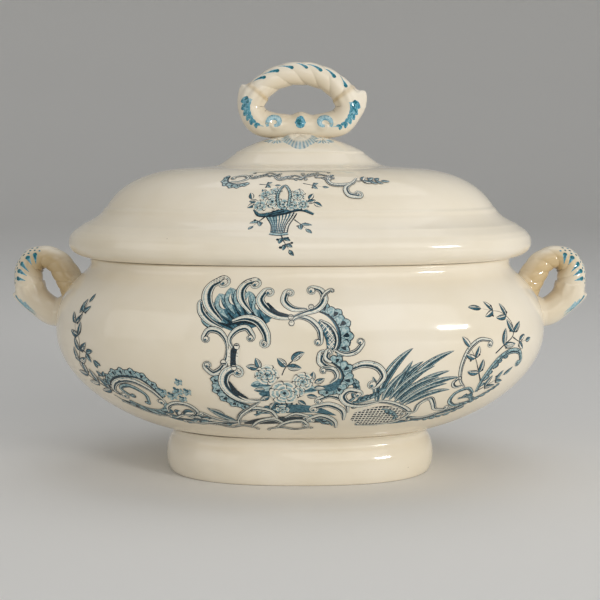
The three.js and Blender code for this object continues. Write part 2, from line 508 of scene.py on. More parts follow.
def turn_oval(outline: Outline, steps: int) -> BMesh:
    """Spins a profile about the axis and presses the round form oval.

    Args:
        outline: the closed profile, or one that starts and ends on the axis.
        steps: how many steps the turn is made in.

    Returns:
        A closed mesh in millimetres with its faces outwards.
    """
    form = bmesh.new()
    inset = form.verts.layers.float.new("inset")
    chain = []
    for point in outline.points:
        vert = form.verts.new((point.x, 0, point.y))
        vert[inset] = point.z
        chain.append(vert)
    spin_chain(form, chain, steps, WELD)
    for vert in form.verts:
        half = math.hypot(vert.co.x, vert.co.y)
        vert.co = oval_point(half, vert.co.z, vert[inset], math.atan2(vert.co.y, vert.co.x))
    form.verts.layers.float.remove(inset)
    return form


@dataclass
class OvalSkin:
    """The outside of an oval piece, on which a point is (round, up) in millimetres.

    round is measured from the middle of the front along the oval at half-length waist, towards +X, and up is
    measured along the profile from the height level. turn is half a turn on the back.
    """

    outline: Outline
    waist: float
    level: float
    back: bool = False
    heights: list[float] = field(init=False)
    rounds: list[float] = field(init=False)
    angles: list[float] = field(init=False)
    net: dict[tuple[int, int], Place] = field(default_factory=dict)

    def __post_init__(self) -> None:
        """Measures the profile and the oval once."""
        points = self.outline.points
        marks = [0.0]
        for a, b in zip(points, points[1:]):
            marks.append(marks[-1] + (b - a).xy.length)
        zero = next(m for m, p in zip(marks, points) if p.y >= self.level)
        self.heights = [m - zero for m in marks]
        self.angles = [math.pi * (k / 720 - 0.5) for k in range(721)]
        self.rounds = [0.0]
        last = None
        for angle in self.angles:
            reach = oval_reach(self.waist, self.waist * DEPTH_SHARE, angle)
            here = Vector((reach * math.cos(angle), reach * math.sin(angle)))
            if last is not None:
                self.rounds.append(self.rounds[-1] + (here - last).length)
            last = here

    def point(self, round_mm: float, up_mm: float) -> Vector:
        """Finds a point of the skin.

        Args:
            round_mm: its place round the skin.
            up_mm: its place up the skin.

        Returns:
            The point.
        """
        i = min(max(bisect_right(self.heights, up_mm) - 1, 0), len(self.heights) - 2)
        low, high = self.heights[i], self.heights[i + 1]
        at = self.outline.points[i].lerp(self.outline.points[i + 1], (up_mm - low) / max(high - low, TINY))
        k = min(max(bisect_right(self.rounds, abs(round_mm)) - 1, 0), len(self.rounds) - 2)
        share = (abs(round_mm) - self.rounds[k]) / (self.rounds[k + 1] - self.rounds[k])
        angle = self.angles[k] + share * (self.angles[k + 1] - self.angles[k])
        if round_mm < 0:
            angle = math.pi - angle
        if self.back:
            angle += math.pi
        return oval_point(at.x, at.y, 0.0, angle)

    def corner(self, i: int, k: int) -> Place:
        """Works out a corner of a one-millimetre net over the skin, once.

        Args:
            i: its place round the skin.
            k: its place up the skin.

        Returns:
            The point and the outward direction there.
        """
        if (i, k) not in self.net:
            across = self.point(i + 0.4, k) - self.point(i - 0.4, k)
            upward = self.point(i, k + 0.4) - self.point(i, k - 0.4)
            self.net[i, k] = (self.point(i, k), across.cross(upward).normalized())
        return self.net[i, k]

    def place(self, round_mm: float, up_mm: float) -> Place:
        """Reads a place off the net.

        Args:
            round_mm: the place round the skin.
            up_mm: the place up the skin.

        Returns:
            The point and the outward direction there.
        """
        i, k = math.floor(round_mm), math.floor(up_mm)
        across, upward = round_mm - i, up_mm - k
        low, low_out = self.corner(i, k)
        right, right_out = self.corner(i + 1, k)
        high, high_out = self.corner(i, k + 1)
        far, far_out = self.corner(i + 1, k + 1)
        at = low.lerp(right, across).lerp(high.lerp(far, across), upward)
        out = low_out.lerp(right_out, across).lerp(high_out.lerp(far_out, across), upward)
        return at, out.normalized()


# ---- decoration --------------------------------------------------------------------------------------------


class Swell(Enum):
    """How the width of a drawn line runs from its start to its end."""

    EVEN = "even"
    LEAF = "leaf"
    TAPER = "taper"
    BELLY = "belly"
    DROP = "drop"
    ROUND = "round"

    def at(self, share: float) -> float:
        """How wide the line is at a place.

        Args:
            share: the place, as a share of the length.

        Returns:
            The share of the full width.
        """
        if self is Swell.LEAF:
            return math.sin(math.pi * share**0.8) ** 0.75 + 0.02
        if self is Swell.TAPER:
            return 1.0 - 0.94 * share
        if self is Swell.BELLY:
            return 0.34 + 0.66 * math.sin(math.pi * share)
        if self is Swell.DROP:
            return math.sin(math.pi * min(1.0, share * 1.02) ** 1.7) ** 0.6 + 0.03
        if self is Swell.ROUND:
            return math.sqrt(max(0.0, 1 - (2 * share - 1) ** 2)) + 0.02
        return 1.0


EVEN, LEAF, TAPER, BELLY, DROP, ROUND = Swell


@dataclass
class Engraving:
    """Lays inked lines and patches on a skin, each just over the last, as the engraver drew them."""

    skin: Callable[[float, float], Place]
    name: str
    inks: dict[Tone, Material]
    flip: bool = False
    lift: float = 0.05  # mm that the first mark stands off the glaze
    rise: float = 0.003  # mm that a mark stands off the one that it crosses
    cell: float = 1.2  # mm across one cell of the tally of what is drawn where
    weave: float = 1.1  # mm between the rows of a wide mark
    small_rose: float = 9.0  # mm across, below which a rose has two rings of petals
    full: int = 1500  # corners after which a page is put by, because long ones draw slowly
    pages: dict[Tone, list[BMesh]] = field(default_factory=dict)
    tally: dict[tuple[int, int], int] = field(default_factory=dict)

    def page(self, tone: Tone) -> BMesh:
        """Finds the sheet to draw on, or lays a new one when the last is full.

        Args:
            tone: the ink.

        Returns:
            The sheet.
        """
        pages = self.pages.setdefault(tone, [])
        if not pages or len(pages[-1].verts) > self.full:
            pages.append(bmesh.new())
        return pages[-1]

    def mark(
        self,
        path: Sequence[Vector],
        width: float,
        tone: Tone,
        swell: Swell = EVEN,
        shift: float = 0.0,
        fine: bool = False,
    ) -> None:
        """Draws one mark along a path.

        Args:
            path: evenly spaced points in the skin's millimetres.
            width: the mark's full width.
            tone: its ink.
            swell: how its width runs.
            shift: how far it lies to the left of the path, as a share of the width there.
            fine: whether it is a tick or vein that takes no level of its own.
        """
        last = len(path) - 1
        rows = max(1, round(width / self.weave))
        made = bmesh.ops.create_grid(self.page(tone), x_segments=last, y_segments=rows, size=1.0)["verts"]
        cells = set()
        for vert in made:
            along = (vert.co.x + 1) / 2 * last
            side = vert.co.y / 2
            i = min(int(along + 1e-4), last - 1)
            at = path[i].lerp(path[i + 1], along - i)
            ahead = path[min(i + 2, last)] - path[max(i - 1, 0)]
            left = Vector((-ahead.y, ahead.x)).normalized()
            spot = at + left * (width * swell.at(min(1.0, along / last)) * (side + shift))
            vert.co.xy = spot
            cells.add((int(spot.x // self.cell), int(spot.y // self.cell)))
        under = max(self.tally.get(cell, 0) for cell in cells)
        if not fine:
            for cell in cells:
                self.tally[cell] = under + 1
        for vert in made:
            vert.co.z = self.lift + self.rise * (under - 0.5 * fine)

    def stroke(
        self,
        points: Sequence,
        width: float,
        tone: Tone,
        swell: Swell = EVEN,
        shift: float = 0.0,
    ) -> None:
        """Draws one mark along a smooth curve.

        Args:
            points: what the curve passes through.
            width: the mark's full width.
            tone: its ink.
            swell: how its width runs.
            shift: how far it lies to the left of the curve, as a share of the width there.
        """
        self.mark(smooth_line(points, INK_STEP), width, tone, swell, shift)

    def leaf(self, base: Vector, heading: float, length: float, breadth: float, bend: float = 0.0) -> None:
        """Draws a pointed leaf, pale on one half and dark on the other.

        Args:
            base: where it springs from.
            heading: its direction in degrees, anticlockwise from the right.
            length: its length.
            breadth: its greatest width.
            bend: how many degrees it turns along its length.
        """
        path = curl_line(base, heading, bend, length)
        self.mark(path, breadth + 0.6, LINE, LEAF)
        self.mark(path, breadth * 0.86, BARE if breadth > 2.4 else WASH, LEAF)
        self.mark(path, breadth * 0.46, SHADE, LEAF, 0.45)
        if breadth > 2.7:
            self.mark(path, 0.4, SHADE, LEAF, -2.2, fine=True)
        self.mark(path, 0.45, LINE, TAPER, fine=True)

    def dot(self, at: Vector, size: float, tone: Tone = LINE) -> None:
        """Draws a round berry.

        Args:
            at: its middle.
            size: its diameter.
            tone: its ink.
        """
        path = respace([at - Vector((size / 2, 0)), at + Vector((size / 2, 0))], size / 7)
        self.mark(path, size, tone, ROUND)

    def spray(self, points: Sequence, leaves: int, length: float, breadth: float) -> None:
        """Draws a stem with leaves set on both sides, one at its tip, and small berries.

        Args:
            points: what the stem passes through, root first.
            leaves: how many pairs of leaves it has.
            length: the largest leaf's length.
            breadth: the largest leaf's width.
        """
        stem = smooth_line(points, INK_STEP)
        self.mark(stem, 0.85, LINE, TAPER)
        for k in range(leaves):
            i = round((k + 0.7) / (leaves + 0.35) * (len(stem) - 2))
            ahead = stem[i + 1] - stem[i]
            heading = math.degrees(math.atan2(ahead.y, ahead.x))
            size = 1.0 - 0.3 * k / max(1, leaves)
            for side in (-1, 1):
                spread = 46 + 11 * ((k + (side > 0)) % 2)
                self.leaf(stem[i], heading + side * spread, length * size, breadth * size, -side * 24)
                berry = stem[i] + turned(heading - side * 78, 2.5 + 0.5 * (k % 2))
                self.mark(respace([stem[i], berry], 0.8), 0.4, LINE)
                self.dot(berry, 1.35)
        tip = stem[-1] - stem[-3]
        self.leaf(stem[-1], math.degrees(math.atan2(tip.y, tip.x)), length * 0.9, breadth * 0.85, 12)

    def scroll(
        self,
        points: Sequence,
        width: float,
        start_curl: float = 0.0,
        end_curl: float = 0.0,
        hatch: bool = True,
        fill: Tone = BARE,
    ) -> None:
        """Draws a moulded scroll with rolled ends, dark along its inner side.

        Args:
            points: what its middle passes through.
            width: its greatest width.
            start_curl: the radius that its start rolls up in, positive to the left of the way in.
            end_curl: the same at its end, positive to the left of the way out.
            hatch: whether engraved ticks shade its inner side.
            fill: the ink of its face.
        """
        path = smooth_line(points, INK_STEP)
        if end_curl:
            path = path + rolled_end(path[-1], path[-1] - path[-2], end_curl)
        if start_curl:
            path = list(reversed(rolled_end(path[0], path[0] - path[1], start_curl))) + path
        path = respace(path, 0.85)
        shade = 0.24 if (end_curl or start_curl) > 0 else -0.24
        self.mark(path, width + 0.9, LINE, BELLY)
        self.mark(path, width, fill, BELLY)
        self.mark(path, width * 0.1, WASH, BELLY, -shade * 14.0, fine=True)
        self.mark(path, width * 0.38, SHADE, BELLY, shade * 2.3)
        self.mark(path, max(0.5, width * 0.2), LINE, BELLY, shade * 4.4)
        for curl, at in ((end_curl, path[-1]), (start_curl, path[0])):
            if curl:
                head = max(1.4, min(abs(curl) * 1.25, width * 1.1))
                self.dot(at, head + 0.8, LINE)
                self.dot(at, head, fill)
                self.dot(at + Vector((-0.12, -0.2)) * head, head * 0.5, SHADE)
        if hatch and width > 2.4:
            for i in range(4, len(path) - 4, 2):
                ahead = (path[i + 1] - path[i - 1]).normalized()
                left = Vector((-ahead.y, ahead.x)) * math.copysign(1, shade)
                full = width * BELLY.at(i / (len(path) - 1))
                tick = respace([path[i] + left * full * 0.36, path[i] - left * full * 0.1], 0.5)
                self.mark(tick, 0.34, LINE, TAPER, fine=True)

    def plume(self, points: Sequence, lobes: int, reach: float, side: int, fill: Tone = WASH) -> None:
        """Draws an acanthus feather: lobes that curl off one side of a spine, largest in the middle.

        Args:
            points: what the spine passes through, root first.
            lobes: how many lobes it has.
            reach: the longest lobe's length.
            side: 1 for lobes on the left of the spine, -1 for the right.
            fill: the ink of the lobes' faces.
        """
        spine = smooth_line(points, CLOSE_STEP)
        for k in range(lobes):
            share = (k + 0.5) / lobes
            i = round((0.06 + 0.88 * share) * (len(spine) - 2))
            ahead = spine[i + 1] - spine[i]
            heading = math.degrees(math.atan2(ahead.y, ahead.x)) + side * (74 - 40 * share)
            size = reach * (0.55 + 0.45 * math.sin(math.pi * (0.25 + 0.6 * share))) * (1 + 0.16 * (k % 2))
            path = curl_line(spine[i], heading, -side * 84, size)
            self.mark(path, size * 0.52 + 0.9, LINE, DROP)
            self.mark(path, size * 0.5, fill, DROP)
            self.mark(path, size * 0.24, SHADE, DROP, 0.5 * side)
            self.mark(path[: len(path) * 3 // 5], size * 0.16, LINE, LEAF, 0.9 * side)
        self.mark(spine, reach * 0.24 + 0.8, LINE, TAPER)
        self.mark(spine, reach * 0.2, fill, TAPER)
        self.mark(spine, reach * 0.08, SHADE, TAPER, 0.6 * side)

    def ruffle(self, points: Sequence, lobes: int, reach: float, side: int) -> None:
        """Draws a rocaille frill: round scallops along one side of a line, each with a dark eye.

        Args:
            points: what the line passes through.
            lobes: how many scallops it has.
            reach: how far they stand out.
            side: 1 for scallops on the left, -1 for the right.
        """
        line = smooth_line(points, CLOSE_STEP)
        self.mark(line, reach * 0.9, SHADE, BELLY, 0.3 * side)
        eyes = []
        for k in range(lobes):
            i = round((k + 0.5) / lobes * (len(line) - 2))
            ahead = (line[i + 1] - line[i]).normalized()
            out = Vector((-ahead.y, ahead.x)) * side
            size = reach * (0.74 + 0.26 * math.sin(math.pi * (k + 0.5) / lobes))
            for grow, tone in ((0.95, LINE), (0.0, WASH)):
                for lean in (-0.8, 0.0, 0.8):
                    way = (out + ahead * lean).normalized()
                    root = line[i] + ahead * lean * size * 0.2
                    tip = root + way * (size * (1.0 - 0.2 * abs(lean)) + grow / 2)
                    path = respace([root, root.lerp(tip, 0.5), tip], 0.7)
                    self.mark(path, size * 0.6 + grow, tone, DROP)
            for lean in (-0.5, 0.0, 0.5):
                way = (out + ahead * lean).normalized()
                vein = respace([line[i] + way * size * 0.5, line[i] + way * size * 0.86], 0.6)
                self.mark(vein, 0.42, SHADE, TAPER, fine=True)
            eyes.append((line[i] + out * size * 0.4, out, size))
        for eye, out, size in eyes:
            path = respace([eye - out * size * 0.26, eye, eye + out * size * 0.3], 0.5)
            self.mark(path, size * 0.5, LINE, DROP)
            self.mark(path, size * 0.12, WASH, DROP, -1.2, fine=True)
        self.mark(line, 0.9, LINE)

    def blade(self, base: Vector, heading: float, length: float, breadth: float, bend: float) -> None:
        """Draws one blade of grass, with a pale keel and engraved veins.

        Args:
            base: where it springs from.
            heading: its direction at the base, in degrees.
            length: its length.
            breadth: its greatest width.
            bend: how many degrees it turns along its length.
        """
        path = curl_line(base, heading, bend, length)
        self.mark(path, breadth + 0.7, LINE, LEAF)
        self.mark(path, breadth * 0.95, WASH, LEAF)
        self.mark(path, breadth * 0.42, SHADE, LEAF, -0.5)
        self.mark(path, breadth * 0.2, BARE, LEAF, 1.2)
        for shift in (-2.3, -0.6, 2.6):
            self.mark(path, breadth * 0.11, LINE, LEAF, shift, fine=True)

    def flower(self, centre: Vector, size: float, petals: int, lean: float = 0.0) -> None:
        """Draws an open rose: three rings of petals round a folded heart, or two on a small one.

        Args:
            centre: its middle.
            size: its diameter.
            petals: one more than the outer ring has.
            lean: how many degrees it is turned.
        """
        rings = ((0.54, 0.56, 0.14), (0.38, 0.44, 0.06), (0.22, 0.3, 0.0))  # reach, breadth and root
        for ring, (reach, breadth, start) in enumerate(rings):
            if size < self.small_rose and ring == 1:
                continue
            count = max(3, petals - 1 - ring)
            for k in range(count):
                heading = lean + ring * 34 + 360 * k / count
                root = centre + turned(heading, size * start)
                path = curl_line(root, heading - 8, 16, size * (reach - start))
                short = path[: max(3, len(path) * 9 // 10)]
                inner = short[: max(3, len(short) * 2 // 3)]
                self.mark(path, size * breadth + 1.0, LINE, DROP)
                self.mark(path, size * breadth * 0.97, BARE, DROP)
                self.mark(short, size * breadth * 0.74, WASH, DROP, 0.06)
                self.mark(inner, size * breadth * 0.5, SHADE, TAPER, 0.2, fine=True)
        self.dot(centre, size * 0.12, LINE)

    def lattice(
        self, low: Callable[[float], float], high: Callable[[float], float], span: tuple, gap: float
    ) -> None:
        """Draws a dark basket weave crossed by pale canes between two edges.

        Args:
            low: the lower edge's height at a place along the span.
            high: the upper edge's height there.
            span: where it starts and ends, in millimetres round.
            gap: the spacing of the canes.
        """
        cane = 0.8
        places = (span[0], sum(span) / 2, span[1])
        middle = smooth_line([(x, (low(x) + high(x)) / 2) for x in places], INK_STEP)
        tall = max(high(spot.x) - low(spot.x) for spot in middle)
        self.mark(middle, tall, LINE, BELLY)
        for k in range(1, round((span[1] - span[0]) / gap)):
            x = span[0] + gap * k
            if high(x) - low(x) > 2:
                upright = respace([Vector((x, low(x) + 0.5)), Vector((x, high(x) - 0.5))], 1.0)
                self.mark(upright, cane, BARE, fine=True)
        for k in range(round(tall / gap) + 6):
            y = min(low(span[0]), low(span[1])) - 3 + gap * k
            run = [Vector((spot.x, y)) for spot in middle if low(spot.x) < y < high(spot.x)]
            if len(run) > 2:
                self.mark(run, cane, BARE, fine=True)

    def finish(self, body: str) -> None:
        """Wraps the marks on the skin and hands them to the frame.

        Args:
            body: the frame body that they ride on.
        """
        log.info("%s: %d levels", self.name, max(self.tally.values()))
        for tone, pages in self.pages.items():
            sheet = bmesh.new()
            for page in pages:
                leaf = bpy.data.meshes.new("page")
                page.to_mesh(leaf)
                page.free()
                sheet.from_mesh(leaf)
                bpy.data.meshes.remove(leaf)
            normals = []
            for vert in sheet.verts:
                at, outward = self.skin(vert.co.x, vert.co.y)
                vert.co = at + outward * vert.co.z
                normals.append(outward)
            if self.flip:
                bmesh.ops.reverse_faces(sheet, faces=sheet.faces)
            piece = finish_piece(f"{self.name}_{tone.name.lower()}", sheet, self.inks[tone], body)
            piece.data.normals_split_custom_set_from_vertices(normals)


def turned(heading: float, length: float) -> Vector:
    """A flat vector of that length at heading degrees."""
    angle = math.radians(heading)
    return Vector((length * math.cos(angle), length * math.sin(angle)))


def curl_line(base: Vector, heading: float, bend: float, length: float) -> list[Vector]:
    """A line that starts at heading and turns evenly.

    Args:
        base: its start.
        heading: its first direction in degrees.
        bend: how many degrees it turns.
        length: its length.

    Returns:
        Its evenly spaced points.
    """
    count = max(5, round(length / INK_STEP))
    points = [base.copy()]
    for k in range(count):
        points.append(points[-1] + turned(heading + bend * (k + 0.5) / count, length / count))
    return points


def rolled_end(at: Vector, ahead: Vector, radius: float) -> list[Vector]:
    """The volute that a scroll rolls up in.

    Args:
        at: where the scroll ends.
        ahead: its direction there.
        radius: the volute's radius, positive to turn left.

    Returns:
        Points of the volute, not counting at.
    """
    heading = math.degrees(math.atan2(ahead.y, ahead.x))
    points = [at.copy()]
    size = abs(radius)
    bend, kept = 14, 0.955  # degrees turned, and share of the radius kept, at each step
    for _ in range(30):
        heading += math.copysign(bend, radius)
        size *= kept
        points.append(points[-1] + turned(heading, size * math.radians(bend)))
    return points[1:]


# ---- the turned pieces -------------------------------------------------------------------------------------


@dataclass
class Bowl:
    """The open bowl: a deep belly that draws in to an upright neck, glazed inside and out."""

    foot_half: float = 66.0
    foot_top: float = 26.0
    belly_half: float = 147.5
    belly_level: float = 88.0
    neck_half: float = 126.3
    rim_level: float = 131.0
    wall: float = 5.5
    steps: int = 256

    def outside(self) -> Outline:
        """The outer profile, from the axis under the bowl to the top of its neck."""
        line = Outline([Vector((0, self.foot_top, 0))])
        line.line(self.foot_half, self.foot_top, steps=FLAT_STEPS)
        line.curve((106, 29.5), (self.belly_half, 58), (self.belly_half, self.belly_level), 44)
        line.curve((self.belly_half, 104), (140, 114), (130.5, 121.6), 26)
        line.arc((self.neck_half, 125), (self.neck_half, 128), 8)
        return line.line(126.7, 129.8).line(126.4, 130.7).line(125.6, self.rim_level)

    def whole(self) -> Outline:
        """The closed profile, outside and inside."""
        line = self.outside()
        line.line(121.9, self.rim_level, self.wall).line(121.2, 130.4).line(120.9, 127, steps=2)
        line.arc((120.8, 122), (126, 117.6), 10)
        line.curve((134.5, 111), (142, 101), (142, self.belly_level), 18)
        line.curve((142, 62), (104, 36.5), (self.foot_half, 33), 34)
        return line.line(0, 33, steps=FLAT_STEPS)

    def half_at(self, level: float) -> float:
        """Finds how wide the bowl is at a height.

        Args:
            level: the height.

        Returns:
            The outside half-length there.
        """
        points = self.outside().points[FLAT_STEPS:]
        for a, b in zip(points, points[1:]):
            if a.y <= level <= b.y:
                return a.lerp(b, (level - a.y) / max(b.y - a.y, TINY)).x
        return points[-1].x if level > points[-1].y else self.foot_half

    def skin(self, back: bool = False) -> OvalSkin:
        """The outside, measured from the widest line."""
        return OvalSkin(self.outside(), self.belly_half, self.belly_level, back)


@dataclass
class Foot:
    """The low oval foot ring that the bowl is luted to, hollow underneath."""

    outer: float = 82.3
    steps: int = 256

    def whole(self) -> Outline:
        """The closed profile of the ring, each point set in by its distance from the widest line."""
        line = Outline([Vector((65.3, 25.7, 0))])
        line.line(70.8, 17, steps=4).line(71.5, 3, steps=5).line(71.9, 0.5).line(72.6, 0)
        line.line(79.2, 0, steps=3).line(80.1, 0.4).arc((82.3, 4.2), (self.outer, 9.5), 10)
        line.arc((82.1, 17), (78.9, 21.5), 12).arc((78.0, 23.2), (78.6, 25.2), 6)
        line.arc((79.6, 27.2), (82.5, 28.2), 6)
        line.line(75.0, 27.4, steps=2).line(65.3, 25.7, steps=2)
        for point in line.points:
            point.z = max(0.0, self.outer - point.x)
        return line


@dataclass
class Lid:
    """The high domed lid: a rolled rim, a cove, a step and a dome under a small raised cap."""

    rim_half: float = 139.0
    step_half: float = 118.0
    step_level: float = 160.4
    top: float = 203.2
    wall: float = 5.0
    steps: int = 256

    def outside(self) -> Outline:
        """The outer profile, from the seat under the rim up to the axis."""
        line = Outline([Vector((127, 131.3, 0))])
        line.curve((134, 131.6), (self.rim_half, 135.2), (self.rim_half, 139.6), 12)
        line.arc((self.rim_half, 143.6), (137.0, 145.2), 8).line(135.6, 146.9, steps=2)
        line.line(131.6, 149.6, steps=3).arc((130.8, 150.1), (129.9, 150.9), 3)
        line.arc((122.5, 154), (118.8, 158.0), 10).arc((118.2, 159.3), (117.6, 160.0), 3)
        line.arc((117.0, 160.5), (116.2, self.step_level + 0.7), 3)
        line.curve((110.5, 171), (97, 182), (70, 183.5), 34)
        line.line(54.5, 184.4, steps=5).arc((50.0, 184.7), (46.4, 187.0), 8)
        line.arc((42.3, 190.0), (39.4, 192.0), 8).line(38.9, 192.6).line(38.6, 193.2).line(37.6, 193.7)
        line.arc((27, 199.6), (14, 202.2), 12).line(0, self.top, steps=5)
        return line

    def whole(self) -> Outline:
        """The closed profile, outside and inside, starting on the axis under the cap."""
        inside = Outline([Vector((0, 197.6, self.wall))])
        inside.arc((20, 197), (33, 187.5), 10).arc((38.5, 179.5), (50, 179.2), 8)
        inside.curve((90, 178.5), (105.5, 167), (110.5, 157.5), 24)
        inside.arc((113.5, 152), (120, 147), 8).arc((124, 138), (115.0, 131.6), 12)
        inside.line(116.5, 131.3).line(126.0, 131.3, 0.0, steps=3)
        inside.points.extend(self.outside().points)
        return inside

    def skin(self, back: bool = False) -> OvalSkin:
        """The outside, measured from the step under the dome."""
        return OvalSkin(self.outside(), self.step_half, self.step_level, back)

    def height_at(self, x: float, y: float) -> float:
        """Finds how high the cove, the dome or the cap is.

        Args:
            x: the place in plan, along the length.
            y: the place in plan, across it.

        Returns:
            The height there.
        """
        half = plan_half(x, y)
        points = self.outside().points[RIM_POINTS:]
        for outer, inner in zip(points, points[1:]):
            if inner.x <= half <= outer.x:
                return outer.lerp(inner, (outer.x - half) / max(outer.x - inner.x, TINY)).y
        return self.top


@dataclass
class Flange:
    """The upright ring under the lid that drops inside the bowl's neck and keeps the lid on."""

    outer: float = 119.0
    wall: float = 4.2
    low: float = 120.5
    high: float = 131.0
    slack: float = 7.8  # mm from its outside to the mould line
    steps: int = 224

    def whole(self) -> Outline:
        """The closed profile of the flange."""
        inner = self.outer - self.wall
        inset = self.slack + self.wall
        line = Outline([Vector((inner, self.high, inset))])
        line.line(inner, self.low + 1.6, steps=4)
        line.line(inner + 0.6, self.low + 0.4).line(inner + 1.4, self.low)
        line.line(self.outer - 1.8, self.low, self.slack, steps=2).line(self.outer - 0.7, self.low + 0.7)
        line.line(self.outer, self.low + 2.0).line(self.outer, self.high, steps=4)
        return line.line(inner, self.high, inset, steps=2)


# ---- the loops ---------------------------------------------------------------------------------------------


@dataclass
class RopedLoop:
    """A pulled loop, twisted like rope over its crown, whose ends are sheathed in leaves with a free tip.

    It lies in the XZ plane. Places on it are (along, round) in millimetres: along runs from the first station
    and round runs from the outer crest, to the front when positive.
    """

    stations: list[tuple[float, float, float]]
    rope: tuple[float, float]
    spread: float
    tips: list[tuple[float, float, float, float]]  # place along, reach out, reach along, spread in radians
    pitch: float = 10.5
    groove: float = 0.5
    mirrored: bool = False
    sheaths: int = 2  # how many of its ends are sheathed in a leaf
    honey_pool_and_shade: float = 0.25  # how strongly painted shade and a painted warm reflection tint its inner side
    strands: int = 3  # strands of the rope
    veins: int = 9  # ribs round a leaf
    crown: float = 0.25  # mm that the rope stands out over its leaves
    swelling: float = 0.55  # mm that a leaf swells at its edge
    rib: float = 0.28  # mm that a leaf's ribs stand out
    passes: int = 60  # rounds of smoothing where an ear's inner side folds
    folded: float = 0.03  # share of drawing in above which the side is smoothed
    line: list[Vector] = field(init=False)
    length: float = field(init=False)
    turning: float = field(init=False)  # 1 where the centre line runs anticlockwise, -1 the other way

    def __post_init__(self) -> None:
        """Draws the centre line."""
        self.line = smooth_line(self.stations, 0.5, closed=True)
        self.length = 0.5 * (len(self.line) - 1)
        flat = [Vector((p.x, p.y)) for p in self.line]
        area = sum(a.x * b.y - b.x * a.y for a, b in zip(flat, flat[1:]))
        self.turning = 1.0 if area > 0 else -1.0

    def middle(self, along: float) -> tuple[Vector, Vector, float]:
        """The centre line at a place.

        Args:
            along: how far along, in millimetres.

        Returns:
            The point, the outward direction and the radius there.
        """
        count = len(self.line) - 1
        at = (along % self.length) / self.length * count
        i = int(at) % count
        here = self.line[i].lerp(self.line[(i + 1) % count], at - int(at))
        ahead = self.line[(i + 3) % count] - self.line[(i - 2) % count]
        out = Vector((ahead.y, 0, -ahead.x)).normalized() * self.turning
        return Vector((here.x, 0, here.y)), out, here.z

    def roped(self, along: float) -> float:
        """How far the rope twist shows at a place, from nought to one."""
        fade = 1.6 if self.sheaths == 2 else 16.0
        return ease((along - self.rope[0]) / 1.6) * ease((self.rope[1] - along) / fade)

    def collar(self, along: float) -> float:
        """How far a place lies from the nearest edge of a sheath."""
        far = abs(along - self.rope[1]) if self.sheaths == 2 else math.inf
        return min(abs(along - self.rope[0]), far)

    def pool_and_shade_at(self, along: float, turn: float) -> float:
        """How strongly a place is tinted yellow-brown: gathered glaze with painted crease shade at a sheath's
        edge, and painted shade with a painted warm reflection on the loop's inner side.

        Args:
            along: the place along the loop.
            turn: the direction round the section, nought outwards.

        Returns:
            The strength, from nought to one.
        """
        if self.sheaths == 2:
            # painted shade and painted warm reflection on the inner side; the bell at the collar is gathered
            # glaze with painted crease shade
            inside = self.honey_pool_and_shade * ease((abs(turn) - 0.9) / 1.3)
            return min(1.0, inside + 0.45 * bell(self.collar(along) - 0.4, 1.1))
        # painted shade and a painted warm reflection on the ear's inner side, fading towards both roots
        inside = self.honey_pool_and_shade * ease((abs(turn) - 0.35) / 1.2)
        inside *= 0.3 + 0.7 * ease((along - 27) / 16)
        return inside * (1 - 0.7 * ease((along - self.length + 20) / 16))

    def pinch(self, along: float) -> float:
        """How much the inner side is drawn in where the line turns sharply at the joined ends."""
        past = along % self.length
        return 0.3 * bell(min(past, self.length - past), 13.0) if self.sheaths == 1 else 0.0

    def point(self, along: float, angle: float) -> Vector:
        """The surface at a place.

        Args:
            along: how far along, in millimetres.
            angle: the direction round the section, nought outwards and a quarter turn to the front.

        Returns:
            The point.
        """
        here, out, radius = self.middle(along)
        roped = self.roped(along)
        phase = self.strands * angle + 2 * math.pi * along / self.pitch
        strand = abs(math.sin(phase / 2)) ** 0.6
        size = radius - self.groove * roped * (1 - strand) * 1.25 + self.crown * roped
        nearness = self.collar(along)
        size += self.swelling * (1 - roped) * ease(1 - nearness / 16)
        size *= 1 - self.pinch(along) * max(0.0, -math.cos(angle))
        turn = math.atan2(math.sin(angle), math.cos(angle))
        veins = self.rib * (1 - roped) * ease(1 - nearness / 14) * math.cos(turn * self.veins)
        point = here + out * (size + veins) * math.cos(angle)
        point += Vector((0, -1, 0)) * (size + veins) * self.spread * math.sin(angle)
        run = Vector((-out.z, 0, out.x)) * self.turning
        for tip, reach, lean, width in self.tips:
            back = along - tip
            close = bell(back, 5.0 if back * lean < 0 else 1.6) * bell(turn, width)
            point += out * reach * close + run * lean * close
        return self.dress(point, along, turn)

    def dress(self, point: Vector, along: float, turn: float) -> Vector:
        """Adds the relief that only one kind of loop has.

        Args:
            point: a point of the surface.
            along: where it lies along the loop; not used here.
            turn: where it lies round the section, nought outwards; not used here.

        Returns:
            The point, moved.
        """
        return point

    def place(self, along: float, round_mm: float) -> Place:
        """Finds a place on the loop.

        Args:
            along: the place along the loop.
            round_mm: the place round it.

        Returns:
            The point and the outward direction there.
        """
        radius = self.middle(along)[2]
        angle = round_mm / radius
        here = self.point(along, angle)
        ahead = self.point(along + 0.3, angle) - self.point(along - 0.3, angle)
        across = self.point(along, angle + 0.05) - self.point(along, angle - 0.05)
        outward = across.cross(ahead).normalized()
        centre = self.middle(along)[0]
        if outward.dot(here - centre) < 0:
            outward.negate()
        return self.flip(here), self.flip(outward)

    def flip(self, value: Vector) -> Vector:
        """The value on the loop's own side of the bowl."""
        return Vector((-value.x, value.y, value.z)) if self.mirrored else value

